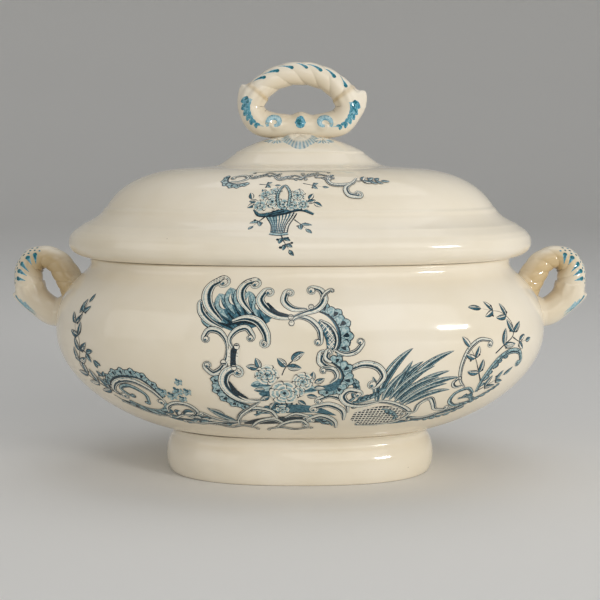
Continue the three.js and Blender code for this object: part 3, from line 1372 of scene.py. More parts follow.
    def form(self, steps: int, sides: int) -> BMesh:
        """Models the loop as one closed tube.

        Args:
            steps: how many steps it is made in along its length.
            sides: how many sides its section has.

        Returns:
            The mesh in millimetres.
        """
        sheet = bmesh.new()
        pool_and_painted_shade = sheet.verts.layers.float.new("pool_and_painted_shade")
        fold = sheet.verts.layers.float.new("fold")
        bmesh.ops.create_grid(sheet, x_segments=steps, y_segments=sides, size=1.0)
        for vert in sheet.verts:
            along = (vert.co.x + 1) / 2 * self.length
            angle = (vert.co.y + 1) * math.pi
            point = self.point(along, angle)
            # painted shade and painted warm reflection inside the loop, with glaze gathered at the sheath
            # edges
            vert[pool_and_painted_shade] = self.pool_and_shade_at(along, math.atan2(math.sin(angle), math.cos(angle)))
            vert[fold] = self.pinch(along) * -math.cos(angle)
            vert.co = self.flip(point)
        bmesh.ops.remove_doubles(sheet, verts=sheet.verts, dist=WELD)
        folded = [vert for vert in sheet.verts if vert[fold] > self.folded]
        for _ in range(self.passes if folded else 0):
            bmesh.ops.smooth_vert(
                sheet, verts=folded, factor=0.5, use_axis_x=True, use_axis_y=True, use_axis_z=True
            )
        bmesh.ops.recalc_face_normals(sheet, faces=sheet.faces)
        return sheet


@dataclass
class LidLoop(RopedLoop):
    """The lid's grip: a rope arch on a scrolled bar, with a painted bead in its middle."""

    lid: Lid = field(default_factory=Lid)
    bead_level: float = 211.2
    scroll_places: tuple = ((-15.6, 210.2), (14.8, 210.0))

    def dress(self, point: Vector, along: float, turn: float) -> Vector:
        """Raises the scrolls and the bead on the bar, waves its top, and buries its underside in the cap.

        Args:
            point: a point of the surface.
            along: where it lies along the loop; not used here.
            turn: where it lies round the section, nought outwards.

        Returns:
            The point, moved.
        """
        point = point.copy()
        face = -1.0 if point.y < 0 else 1.0
        point.y += face * 0.9 * self.scroll_mask(point)
        bead = bell(math.hypot(point.x / 3.1, (point.z - self.bead_level) / 3.9), 0.82)
        if abs(turn) > 0.3:
            point.y += face * 1.3 * bead
        if abs(turn) > 2.2 and point.z < 224:
            point.z += 1.1 * bell(point.x - 0.7, 3.6) - 0.6 * bell(abs(point.x - 1.1) - 6.4, 2.2)
        floor = self.lid.height_at(point.x, point.y) - 2.0
        point.z = max(point.z, floor)
        return point

    def scroll_mask(self, point: Vector) -> float:
        """How near a point lies to the raised band of one of the C-scrolls.

        Args:
            point: a point of the bar.

        Returns:
            The nearness, from nought to one.
        """
        best = 0.0
        for side, (x, z) in zip((-1, 1), self.scroll_places):
            across, up = (point.x - x) * side, point.z - z
            angle = math.degrees(math.atan2(up, across)) % 360
            radius = 3.5 - 1.6 * ease((angle - 150) / 200)
            width = 1.9 - 0.9 * ease((angle - 250) / 60)
            near = bell(math.hypot(across, up) - radius, width)
            if angle > 318:
                near *= 1 - ease((angle - 318) / 18)
            best = max(best, near)
        return best if point.z < 217 else 0.0


@dataclass
class EarLoop(RopedLoop):
    """A side handle: a rope ear that springs from the neck and ends in a leaf on the belly."""

    bowl: Bowl = field(default_factory=Bowl)
    sunk: float = 2.4  # mm that a root reaches into the wall
    slip: float = 4.0  # mm that the fillet reaches up the root

    def dress(self, point: Vector, along: float, turn: float) -> Vector:
        """Keeps the roots inside the bowl's wall, with a small fillet of slip where they meet it.

        Args:
            point: a point of the surface.
            along: where it lies along the loop.
            turn: where it lies round the section, nought outwards; not used here.

        Returns:
            The point, moved.
        """
        half = plan_half(point.x, point.y)
        wall = self.bowl.half_at(point.z)
        gap = half - wall
        if gap < -self.sunk:
            share = (wall - self.sunk) / half
            return Vector((point.x * share, point.y * share, point.z))
        if gap < self.slip:
            rise = point.z - self.middle(along)[0].z
            fillet = 0.16 * ease(1 - gap / self.slip)
            return Vector((point.x, point.y * (1 + fillet), point.z + rise * fillet * 0.4))
        return point


@dataclass
class ShellSprig:
    """The small moulded shell between two leaves that hides the seam where the grip meets the cap."""

    lid: Lid
    root: float = -9.0
    length: float = 15.8
    half_width: float = 10.6
    flutes: float = 3.5
    relief: float = 1.5
    sunk: float = 1.0

    def swelling(
        self,
        sheet: BMesh,
        centre: tuple[float, float],
        rim: Callable[[float], float],
        rise: Callable[[float, float], float],
        tint: Callable[[float, float], float],
    ) -> None:
        """Models one closed low swelling on the cap from a ball pressed flat.

        Args:
            sheet: the mesh that it is added to, which has a tint layer.
            centre: its middle in plan.
            rim: its reach in a direction, measured from straight forwards.
            rise: its height at a direction and a share of the reach.
            tint: how strongly it is tinted there.
        """
        layer = sheet.verts.layers.float["tint"]
        made = bmesh.ops.create_uvsphere(sheet, u_segments=160, v_segments=48, radius=1.0)["verts"]
        for vert in made:
            upper = vert.co.z >= 0
            share = min(1.0, math.hypot(vert.co.x, vert.co.y))
            way = math.atan2(vert.co.x, -vert.co.y)
            reach = rim(way) * share
            x, y = centre[0] + reach * math.sin(way), centre[1] - reach * math.cos(way)
            lift = rise(way, share) if upper else -self.sunk * math.sqrt(max(0.0, 1 - share**2))
            vert[layer] = tint(way, share) if upper else 0.0
            vert.co = (x, y, self.lid.height_at(x, y) - 0.25 + lift)

    def shell_rim(self, way: float) -> float:
        """The scalloped edge of the shell.

        Args:
            way: the direction, measured from straight forwards.

        Returns:
            The reach there.
        """
        reach = oval_reach(self.length, self.half_width, way, 2.2)
        fan = ease((2.0 - abs(way)) / 0.5)
        scallop = 1 + 0.07 * fan * (abs(math.cos(self.flutes * way)) ** 0.6 - 0.6)
        return (reach * fan + 2.2 * (1 - fan)) * scallop

    def shell_rise(self, way: float, share: float) -> float:
        """The fluted crown of the shell."""
        flute = 0.62 + 0.38 * abs(math.cos(self.flutes * way)) ** 0.7
        return self.relief * (1 - share**4) * (0.45 + 0.9 * share * (1.3 - share)) * flute * 1.5

    def shell_tint(self, way: float, share: float) -> float:
        """A brushed fringe round the shell's edge."""
        fan = ease((1.9 - abs(way)) / 0.3)
        return 0.92 * fan * ease((share - 0.58) / 0.12) * (0.66 + 0.34 * math.cos(way * 36))

    def leaf_rim(self, way: float, side: int) -> float:
        """The toothed edge of one leaf, which points outwards."""
        reach = oval_reach(9.0, 4.6, way - side * 1.95, 1.6)
        return reach * (1 + 0.13 * math.sin(9 * way))

    def leaf_rise(self, way: float, share: float) -> float:
        """The ribbed crown of a leaf."""
        return 1.15 * (1 - share**3) * (0.75 + 0.25 * math.cos(way * 9))

    def leaf_tint(self, way: float, share: float) -> float:
        """A brushed wash over a leaf."""
        return 0.95 * ease((share - 0.2) / 0.3) * (0.6 + 0.4 * math.cos(way * 14))

    def form(self, back: bool) -> BMesh:
        """Models the shell and its leaves.

        Args:
            back: whether it is the one behind the grip.

        Returns:
            The mesh in millimetres, with its tint attribute.
        """
        sheet = bmesh.new()
        sheet.verts.layers.float.new("tint")
        self.swelling(sheet, (0, self.root), self.shell_rim, self.shell_rise, self.shell_tint)
        for side in (-1, 1):
            edge = partial(self.leaf_rim, side=side)
            self.swelling(sheet, (side * 13.6, -13.6), edge, self.leaf_rise, self.leaf_tint)
        if back:
            half_turn = Matrix.Rotation(math.pi, 3, "Z")
            bmesh.ops.rotate(sheet, cent=(0, 0, 0), matrix=half_turn, verts=sheet.verts)
        return sheet


# ---- the printed pattern -----------------------------------------------------------------------------------


@dataclass
class TransferPrint:
    """The printed pattern: a scrolled frame round a rose spray, with grasses, a wreath and leaf sprays."""

    pen: Engraving

    def base_band(self) -> None:
        """Draws the scrolls and leaves that run along the bottom of the bowl."""
        for points, width in (
            ([(-120, -42), (-108, -51), (-94, -55)], 6), ([(-100, -52), (-86, -59), (-70, -58)], 5),
            ([(-76, -56), (-60, -62), (-44, -60)], 5), ([(72, -54), (86, -58), (100, -52)], 5),
            ([(94, -54), (106, -49), (116, -42)], 4), ([(60, -62), (74, -60), (88, -58)], 4),
        ):
            self.pen.stroke(points, width, SHADE, LEAF)
            self.pen.stroke(points, width * 0.4, LINE, LEAF, 0.3)
        self.band_left()
        self.band_middle()
        self.band_right()

    def band_left(self) -> None:
        """Draws the left of the band: a frilled scroll with far bushes, leaves and a run of scrolls."""
        pen = self.pen
        pen.plume([(-122, -43), (-112, -50), (-100, -54), (-88, -56)], 6, 8, 1)
        pen.plume([(-84, -63), (-72, -62), (-60, -64), (-50, -63)], 5, 7, 1)
        pen.ruffle([(-122, -31), (-112, -23), (-103, -21), (-94, -22), (-88, -28), (-85, -36)], 8, 5.4, 1)
        for x, y, size in (
            (-83, -31, 5.5), (-78, -34, 6), (-73, -30, 6), (-70, -23, 4.5), (-67, -30, 5), (-72, -36, 5),
        ):
            self.bush(x, y, size)
        curl = [(-116, -38), (-119, -33), (-112, -26), (-100, -24), (-90, -30), (-86, -38)]
        pen.scroll(curl, 3.4, 3.2, -3.0)
        curl = [(-108, -37), (-112, -31), (-104, -28), (-96, -34), (-98, -42)]
        pen.scroll(curl, 2.2, 2.0, -1.8, fill=WASH)
        pen.plume([(-114, -42), (-104, -48), (-94, -48), (-86, -42)], 5, 9.5, -1)
        pen.scroll([(-124, -38), (-116, -47), (-105, -54), (-93, -56)], 1.8, 0, 2.4)
        pen.scroll([(-89, -50), (-86, -44), (-78, -40), (-70, -42), (-68, -49), (-74, -54)], 3.2, 0, -2.6)
        pen.plume([(-88, -56), (-78, -52), (-68, -56), (-58, -56)], 5, 8.5, 1, BARE)
        pen.scroll([(-64, -49), (-58, -55), (-48, -58), (-38, -57)], 2.4, 2.6, -2.2)
        pen.blade(Vector((-44, -57)), 152, 21, 4.6, -32)
        pen.leaf(Vector((-50, -50)), 128, 10, 3.4, 30)
        pen.scroll([(-84, -60), (-74, -63), (-62, -61), (-54, -64)], 2.2, 1.8, -1.8)

    def band_middle(self) -> None:
        """Draws the scrolls under the frame, over a dark ground."""
        pen = self.pen
        pen.stroke([(-40, -60), (-22, -56), (0, -55), (22, -57)], 8.5, LINE, LEAF)
        pen.stroke([(-28, -47), (-8, -43), (10, -44), (24, -50)], 8.0, SHADE, LEAF)
        pen.plume([(-30, -50), (-20, -45), (-10, -45)], 4, 6.5, 1)
        pen.plume([(24, -62), (18, -54), (8, -50)], 4, 9, 1)
        for points, width, roll in (
            ([(-44, -62), (-40, -51), (-30, -43), (-19, -45), (-16, -51)], 3.8, -2.6),
            ([(-36, -65), (-28, -57), (-18, -54), (-12, -59)], 3.6, -2.2),
            ([(-18, -66), (-9, -58), (1, -56), (5, -61)], 3.6, -2.2),
            ([(-10, -52), (-3, -48), (4, -50)], 3.2, -2.0),
            ([(27, -66), (23, -56), (14, -50), (7, -53)], 4.4, 2.6),
            ([(30, -56), (27, -45), (18, -39), (9, -41)], 4.4, 2.8),
            ([(31, -47), (27, -36), (18, -31), (11, -34)], 3.6, 2.4),
        ):
            pen.scroll(points, width, 0, roll)
        for points in (
            [(-62, -62), (-52, -66), (-42, -63), (-32, -67)],
            [(-24, -68), (-14, -65), (-4, -68), (8, -65)],
        ):
            pen.scroll(points, 1.6, 1.4, -1.4, False)

    def band_right(self) -> None:
        """Draws the right of the band: a basket weave in a scroll, and the scrolls and leaves beyond it."""
        pen = self.pen
        low = self.edge((36, -60), (50, -64), (72, -57))
        high = self.edge((36, -43), (50, -41), (72, -47))
        pen.lattice(low, high, (35, 70), 2.4)
        curl = [(34, -39), (50, -37), (64, -42), (73, -50), (70, -58), (56, -63), (42, -63)]
        pen.scroll(curl, 2.8, 2.4, -2.2)
        pen.plume([(52, -44), (59, -46), (65, -51), (66, -57)], 5, 5, -1)
        curl = [(70, -48), (76, -49), (75, -41), (80, -36), (85, -41), (90, -47), (97, -48)]
        pen.scroll(curl, 2.6, 2.2, 2.4)
        pen.scroll([(78, -56), (88, -56), (96, -51), (104, -44)], 2.2, 2.2, -2.4)
        pen.plume([(86, -60), (94, -57), (104, -54), (113, -47)], 6, 5.5, -1)
        pen.leaf(Vector((107, -50)), 42, 9, 2.8)

    def bush(self, x: float, y: float, size: float) -> None:
        """Draws one stippled clump of far foliage.

        Args:
            x: its place round the bowl.
            y: its place up the bowl.
            size: its width.
        """
        for k in range(9):
            at = Vector((x, y)) + turned(k * 137.5, size * 0.17 * math.sqrt(k))
            self.pen.dot(at, size * 0.36, SHADE if k % 3 == 0 else WASH)
            path = curl_line(at + turned(k * 50, size * 0.1), k * 50, 150, size * 0.3)
            self.pen.mark(path, 0.32, LINE, BELLY)

    def edge(self, start: tuple, middle: tuple, end: tuple) -> Callable[[float], float]:
        """Draws a parabola through three points.

        Args:
            start: the first point.
            middle: the second.
            end: the third.

        Returns:
            The height over the place round.
        """

        def height(x: float) -> float:
            """The edge's height at x."""
            total = 0.0
            for a, b, c in ((start, middle, end), (middle, end, start), (end, start, middle)):
                total += a[1] * (x - b[0]) * (x - c[0]) / ((a[0] - b[0]) * (a[0] - c[0]))
            return total

        return height

    def grasses(self) -> None:
        """Draws the clump of grass blades right of the middle."""
        blades = (
            (47, -33, 98, 36, 5.0, -66), (52, -34, 82, 30, 4.2, -50), (60, -37, 72, 34, 4.2, -64),
            (57, -35, 80, 44, 4.8, -66), (55, -34, 90, 26, 4.0, -30), (54, -36, 78, 33, 3.8, -60),
            (50, -36, 92, 24, 3.8, -50), (61, -39, 62, 38, 4.6, -64), (58, -38, 76, 30, 4.0, -72),
            (66, -41, 56, 28, 3.8, -62), (63, -41, 70, 30, 4.0, -70), (47, -37, 104, 20, 3.6, 10),
        )
        for x, y, heading, length, breadth, bend in blades:
            self.pen.blade(Vector((x, y)), heading, length, breadth, bend)

    def wing(self) -> None:
        """Draws the feathered shell that fills the frame's upper left corner."""
        pen = self.pen
        pen.stroke([(-44, 19), (-30, 16), (-14, 16.5)], 14.0, SHADE, LEAF)
        for root, tip, width in (
            ((-36, 11), (-55, 17), 7.5), ((-34, 12), (-52, 23.5), 8.0), ((-32, 12), (-47.5, 30), 8.0),
            ((-29, 13), (-42, 34.5), 7.6), ((-26, 13), (-36.5, 35.5), 7.2), ((-22, 13), (-30.5, 32), 7.2),
            ((-18, 12), (-24, 28.5), 7.0),
        ):
            middle = Vector(root).lerp(Vector(tip), 0.5) + Vector((-1.6, -1.2))
            path = smooth_line([root, tuple(middle), tip], INK_STEP)
            pen.mark(path, width + 1.1, LINE, DROP)
            pen.mark(path, width, WASH, DROP)
            pen.mark(path[: len(path) * 3 // 4], width * 0.8, SHADE, TAPER, 0.1)
            pen.mark(path[: len(path) // 2], width * 0.3, LINE, TAPER, 0.6)
            slot = path[len(path) // 2 : len(path) * 6 // 7]
            pen.mark(slot, 2.3, LINE, LEAF, 0.5)
            pen.mark(slot, 1.3, BARE, LEAF, 0.85)
            for shift in (-3.4, -1.8):
                pen.mark(path[len(path) // 3 :], 0.4, SHADE, LEAF, shift, fine=True)
        pen.scroll([(-42, 9), (-50, 13), (-55, 18), (-57, 23)], 3.4, 0, -1.9, False)
        pen.scroll([(-43, 13), (-51, 21), (-54.5, 29), (-54, 36), (-49.5, 40)], 5.6, 0, -3.5)
        pen.scroll([(-27, 18), (-33, 25), (-35, 32), (-33, 37.5), (-29, 39.5)], 4.8, 0, -3.2)
        pen.stroke([(-40, 11), (-30, 13.5), (-22, 11), (-18, 5)], 3.4, LINE, BELLY)
        pen.scroll([(-37, 13), (-30, 15), (-23, 13), (-18.5, 7), (-17.5, 2)], 4.2, 0, -2.1)

    def top_scrolls(self) -> None:
        """Draws the run of scrolls along the top of the frame and the arch that hangs from it."""
        pen = self.pen
        pen.scroll([(-3, 15), (-12, 16), (-19, 20), (-23, 26), (-21, 31.5)], 4.4, 0, -3.0)
        pen.stroke([(-6, 16.5), (-13, 18), (-18.5, 24)], 2.5, LINE, BELLY)
        pen.scroll([(4, 20), (-4, 20.5), (-9, 25), (-8.5, 30.5)], 3.6, 0, -2.6)
        pen.scroll([(-5, 15), (3, 18), (10, 20.5), (14, 26), (12.5, 32.5), (8.5, 34.5)], 3.6, 0, 2.9)
        pen.scroll([(11.5, 25), (14.5, 30), (18, 33)], 1.9, 0, -1.3, False)
        pen.scroll([(-5.5, 12.5), (-1, 15.5), (5.5, 14), (10.5, 8.5), (11.3, 2.5)], 2.7, 0, -2.0, False)
        self.beads(((-5, 15.5), (-4.6, 12.2), (6.3, 21.6)), 2.6)

    def beads(self, places: Sequence[tuple[float, float]], size: float) -> None:
        """Draws pale beads with dark edges.

        Args:
            places: their middles.
            size: their diameter.
        """
        for place in places:
            self.pen.dot(Vector(place), size + 0.8)
            self.pen.dot(Vector(place), size, BARE)

    def right_side(self) -> None:
        """Draws the trellised crescent, its frill, and the small scrolls under it."""
        pen = self.pen
        pen.ruffle([(10, 19), (15, 17), (19, 13), (21.5, 7), (21.5, 1), (19, -4)], 5, 7.4, 1)
        crescent = smooth_line([(10.5, 13.5), (15, 9), (17, 4), (16.5, -1), (15, -4)], INK_STEP)
        pen.mark(crescent, 7.2, LINE, BELLY)
        pen.mark(crescent, 6.4, SHADE, BELLY)
        for k in range(11):
            for slant in (48, 132):
                at = crescent[min(len(crescent) - 1, 2 + round(k * 1.7))]
                pen.mark(curl_line(at - turned(slant, 2.4), slant, 0, 4.8), 0.36, BARE)
        pen.scroll([(10.5, 14), (16, 11), (19.5, 5), (19, -1), (15.5, -4.5)], 1.5, 0, 0, False)
        pen.scroll([(18, -2), (24, -4.6), (30, -3.4), (33.5, 0.5)], 2.3, 0, 2.0, False)
        pen.scroll([(20, -13), (15, -12), (11, -9), (11, -5)], 3.4, 0, -1.8)
        pen.scroll([(21, -8), (17, -8.5), (14, -6.5), (14.5, -3.5)], 2.8, 0, -1.5)
        pen.ruffle([(17, -9), (22, -13), (24, -18), (22, -23), (17, -26), (12, -26)], 5, 6.6, 1)
        pen.stroke([(12, -25), (18, -25), (22, -19)], 5.6, SHADE, BELLY)
        pen.scroll([(17, -22), (20.5, -18), (18.5, -13.5), (13.5, -12.5)], 2.5, 0, 1.8, False)

    def left_side(self) -> None:
        """Draws the stacked C-scrolls of the frame's left side and the dark crescent at its foot."""
        pen = self.pen
        pen.ruffle([(-44, -18), (-45.5, -24), (-43, -31), (-37, -37), (-30, -40)], 5, 6.2, -1)
        pen.scroll([(-39, -3), (-40, 3), (-44, 7.5), (-49.5, 8), (-52, 4.5)], 2.9, 0, 2.0)
        pen.scroll([(-36, -2), (-38, 3), (-34.5, 8), (-29, 9.5), (-25.5, 5.5)], 2.9, 0, -2.0)
        pen.scroll([(-39, -1), (-39.5, -7), (-43, -13.5), (-48, -16), (-51.5, -13)], 3.0, 0, -2.2)
        pen.stroke([(-35, -1), (-36, -6), (-36.5, -12)], 5.2, LINE, BELLY)
        pen.stroke([(-37.6, -1), (-38.4, -6), (-38.4, -12)], 1.7, BARE, BELLY)
        pen.stroke([(-32.9, -1), (-33.6, -6), (-34.2, -12)], 1.7, BARE, BELLY)
        pen.scroll([(-24, -35), (-32, -35.5), (-39, -31), (-43, -23), (-41, -16), (-36, -13)], 5.4, 0, -3.0)
        pen.stroke([(-31, -33.5), (-37, -28.5), (-40, -21)], 3.3, LINE, BELLY)
        pen.stroke([(-36, -31.4), (-32, -34.6), (-25, -35.6)], 1.0, BARE, BELLY)
        pen.scroll([(-24, -36), (-30, -41), (-38, -48), (-43, -56)], 2.4, 0, 0, False)
        self.beads(((-34, -0.6), (-41.5, -9.5), (-36, -12.4)), 2.7)

    def roses(self) -> None:
        """Draws the rose spray that lies in the foot of the frame."""
        pen = self.pen
        for x, y, width in ((-18, -30, 10), (-4, -31, 9), (4, -27, 8), (-10, -38, 8), (-22, -24, 6)):
            path = smooth_line([(x - 6, y), (x, y + 1.2), (x + 6, y)], INK_STEP)
            pen.mark(path, width * 0.8, WASH, LEAF)
            pen.mark(path, width * 0.4, SHADE, LEAF, -0.2)
        for x, y, heading in (
            (-23, -13, 160), (-22, -13, 100), (6, -21, 70), (8, -22, 20), (-18, -32, 200), (4, -31, -20),
            (-20, -27, 175), (-1, -35, -50), (-15, -37, 230), (8, -25, -10),
        ):
            pen.leaf(Vector((x, y)), heading, 6.6, 3.2, 16)
        pen.mark(smooth_line([(-10, -17), (-8, -12.5), (-3, -7.5), (-1, -6)], CLOSE_STEP), 0.6, LINE)
        pen.leaf(Vector((-7.6, -12)), 128, 7, 3.6, 10)
        pen.leaf(Vector((-7, -11.6)), -12, 8, 3.8, 10)
        pen.leaf(Vector((-4.4, -8.6)), 58, 8.6, 3.8, -46)
        for x, y, size, petals, lean in (
            (-18, -17, 12, 6, 20), (-22, -17, 6, 5, 60), (1.5, -21, 11, 8, 10), (-1, -28, 7, 6, 40),
            (-11, -43.5, 8, 5, 0), (-9, -29, 16, 7, 12),
        ):
            pen.flower(Vector((x, y)), size, petals, lean)
        for k in range(5):
            pen.dot(Vector((-14 + 3 * k, -38.4 + 0.8 * (k % 2))), 1.4)

    def big_scroll(self) -> None:
        """Draws the large C-scroll between the frame and the grasses."""
        pen = self.pen
        pen.plume([(30, -36), (34, -30), (33, -23), (27, -18)], 6, 6, 1)
        pen.scroll([(26, -14), (34, -10.5), (42, -12), (46.5, -18), (44, -24)], 3.6, 2.4, -3.2)
        pen.scroll([(48, -37), (38, -40), (29, -38), (25, -32), (28, -27.5), (34, -28.5)], 4.0, 0, -2.6)
        pen.plume([(32, -37), (38, -36), (44, -33), (48, -28)], 6, 6, 1)

    def wreath(self) -> None:
        """Draws the open wreath and the leafy twig at the right end."""
        pen = self.pen
        curl = [(113, -44), (104, -45), (96, -40), (96, -33), (103, -30), (109, -34)]
        pen.scroll(curl, 2.0, 0, -1.6, fill=WASH)
        pen.scroll([(100, -29), (94, -23), (91.5, -14), (94, -5), (101, 0.5), (108, 0)], 2.0, 0, -2.4, False)
        pen.scroll([(98, -27), (93, -28), (90, -25), (92, -21.5)], 1.5, 0, -1.2, False)
        pen.plume([(112, -34), (111, -24), (116, -14), (124, -9)], 6, 4.4, -1)
        curl = [(111, -34), (110, -24), (115, -13), (124, -8), (133, -9), (137, -14)]
        pen.scroll(curl, 2.7, 0, -2.8, fill=WASH)
        pen.plume([(106, -44), (113, -41), (120, -36), (128, -29)], 7, 5, -1)
        pen.plume([(101, -38), (108, -38), (114, -42)], 5, 4.4, 1)
        pen.spray([(112, -33), (118, -28.5), (126, -23)], 2, 8.4, 2.8)
        pen.spray([(109, -25), (104, -18), (99.5, -10), (95, -3)], 2, 8.6, 3.0)
        twig = [(113, -8), (119, -3.5), (126, 1), (126, 8), (120, 14.5), (112, 16.5), (106, 18)]
        pen.spray(twig, 4, 9.6, 3.2)
        pen.spray([(126, 0), (132, -3), (138, -3)], 1, 6.6, 2.6)

    def left_spray(self) -> None:
        """Draws the leafy spray at the left end."""
        pen = self.pen
        stem = [(-117, -37), (-126, -31), (-134, -25), (-138, -17), (-134, -9), (-133, -2)]
        pen.spray([*stem, (-138, 6), (-136, 13)], 7, 10.4, 3.7)
        pen.spray([(-135, 9), (-133, 14), (-131, 20)], 1, 6.6, 2.4)
        pen.spray([(-120, -34), (-121, -26), (-122, -18)], 2, 5.8, 2.3)
        pen.spray([(-134, -7), (-128, -9), (-123, -13)], 1, 6.2, 2.4)

    def bowl_front(self) -> None:
        """Draws the whole pattern of one side of the bowl, the farthest things first."""
        for motif in (
            self.base_band, self.grasses, self.big_scroll, self.wreath, self.left_spray,
            self.wing, self.right_side, self.left_side, self.top_scrolls, self.roses,
        ):
            motif()

    def lid_front(self) -> None:
        """Draws the flower basket and the scrolls on one side of the lid."""
        pen = self.pen
        self.lid_scrolls()
        pen.spray([(-19, -4), (-22, -8), (-24, -12)], 1, 5.2, 1.9)
        pen.spray([(-3, -6), (1, -11), (3, -15)], 1, 6.0, 2.2)
        pen.spray([(-9, -21), (-7.5, -26), (-5, -31)], 2, 4.4, 1.8)
        self.basket()
        self.basket_flowers()

    def basket(self) -> None:
        """Draws the basket's upright ribs, its base and its rim."""
        pen = self.pen
        ribs = 9
        for k in range(ribs):
            share = (k + 0.5) / ribs
            top, low = Vector((-19 + 17.5 * share, -2.5 + 1.2 * share)), Vector((-13.6 + 7 * share, -19))
            middle = top.lerp(low, 0.5) + Vector(((0.5 - share) * 3.2, 0))
            rib = smooth_line([top, middle, low], INK_STEP)
            pen.mark(rib, 2.2, LINE if k in (0, ribs - 1) else SHADE, EVEN)
            pen.mark(rib, 0.9, WASH if k < 3 else BARE, EVEN)
            for row in range(1, 8):
                at = rib[min(len(rib) - 2, row * len(rib) // 8)]
                pen.mark([at - Vector((0.8, 0)), at + Vector((0.8, 0.1))], 0.35, LINE)
        base = smooth_line([(-14.6, -19.6), (-10.2, -20.6), (-5.8, -19.6)], CLOSE_STEP)
        pen.mark(base, 2.6, LINE)
        pen.mark(base, 1.5, WASH)
        rim = smooth_line([(-25.5, 1.2), (-22, -2.6), (-10, -0.6), (0, 1.6), (7.5, -2.2)], CLOSE_STEP)
        pen.mark(rim, 4.6, LINE, BELLY)
        pen.mark(rim, 2.6, SHADE, BELLY, 0.1)
        pen.mark(rim, 0.8, BARE, BELLY, 2.2)

    def basket_flowers(self) -> None:
        """Draws the leaves and flowers in the basket, and its handle over them."""
        pen = self.pen
        for x, y, heading in (
            (-24, 6, 165), (-28, 8, 100), (-25, 5, 205), (4, 6, 10), (8, 6, -40), (1, 11, 90), (5, 8, 50),
            (-20, 12, 120), (-2, 12, 60),
        ):
            pen.leaf(Vector((x, y)), heading, 5.4, 2.6, 14)
        for x, y, size, petals in (
            (-20, 11, 7.6, 6), (-14.5, 14, 7, 6), (-16, 6.4, 9.6, 6), (-22.5, 3.4, 7.4, 6),
            (-9.6, 4.4, 7.6, 6), (-1.5, 11, 9.0, 7), (-4.6, 4.2, 7.2, 6), (1.5, 4.4, 6.6, 6),
        ):
            pen.flower(Vector((x, y)), size, petals, x * 7)
        handle = smooth_line([(-12, 3), (-13, 12), (-9.5, 19.5), (-6, 13), (-6.5, 3)], CLOSE_STEP)
        pen.mark(handle, 1.9, LINE)
        pen.mark(handle, 1.1, WASH)
        for k in range(1, len(handle) - 1, 2):
            pen.mark([handle[k], handle[k + 1] + Vector((0.5, 0.3))], 0.35, LINE)

    def lid_scrolls(self) -> None:
        """Draws the run of scrolls on top of the lid's dome."""
        pen = self.pen
        pen.ruffle([(-50, 31), (-48, 24), (-41, 21), (-34, 23)], 6, 4.4, -1)
        pen.scroll([(-46, 24), (-40, 24), (-36, 28), (-40, 32), (-46, 30)], 2.2, 0, 2.0)
        for k in range(6):
            x = -36 + 9.4 * k
            y = 31 + 3.2 * math.sin(k * 1.9)
            side = 1 if k % 2 else -1
            points = [(x, y), (x + 3.4, y + 3.2 * side), (x + 8, y + 1.2 * side), (x + 12, y - 1.6 * side)]
            pen.scroll(points, 1.0, 1.6 * side, -1.4 * side)
            pen.plume([(x + 2, y - 2), (x + 7, y - 1), (x + 12, y + 2)], 4, 3.6, -side, BARE)
        pen.scroll([(-34, 39), (-20, 41), (-4, 43), (10, 42), (22, 40)], 1.0, 2.2, -2.0)
        pen.scroll([(18, 26), (20, 21), (27, 20), (34, 22), (39, 28)], 2.6, -2.2, 0)
        pen.scroll([(33, 21), (28.5, 17), (29, 11.5), (34, 10)], 3.4, 0, 2.2, False)
        pen.spray([(38, 24), (46, 25), (54, 24)], 3, 6.6, 2.6)
        pen.spray([(-26, 21), (-21, 20.5), (-16, 20)], 1, 4.6, 1.6)
        pen.spray([(2, 22), (8, 20), (14, 18.5)], 1, 4.8, 1.8)


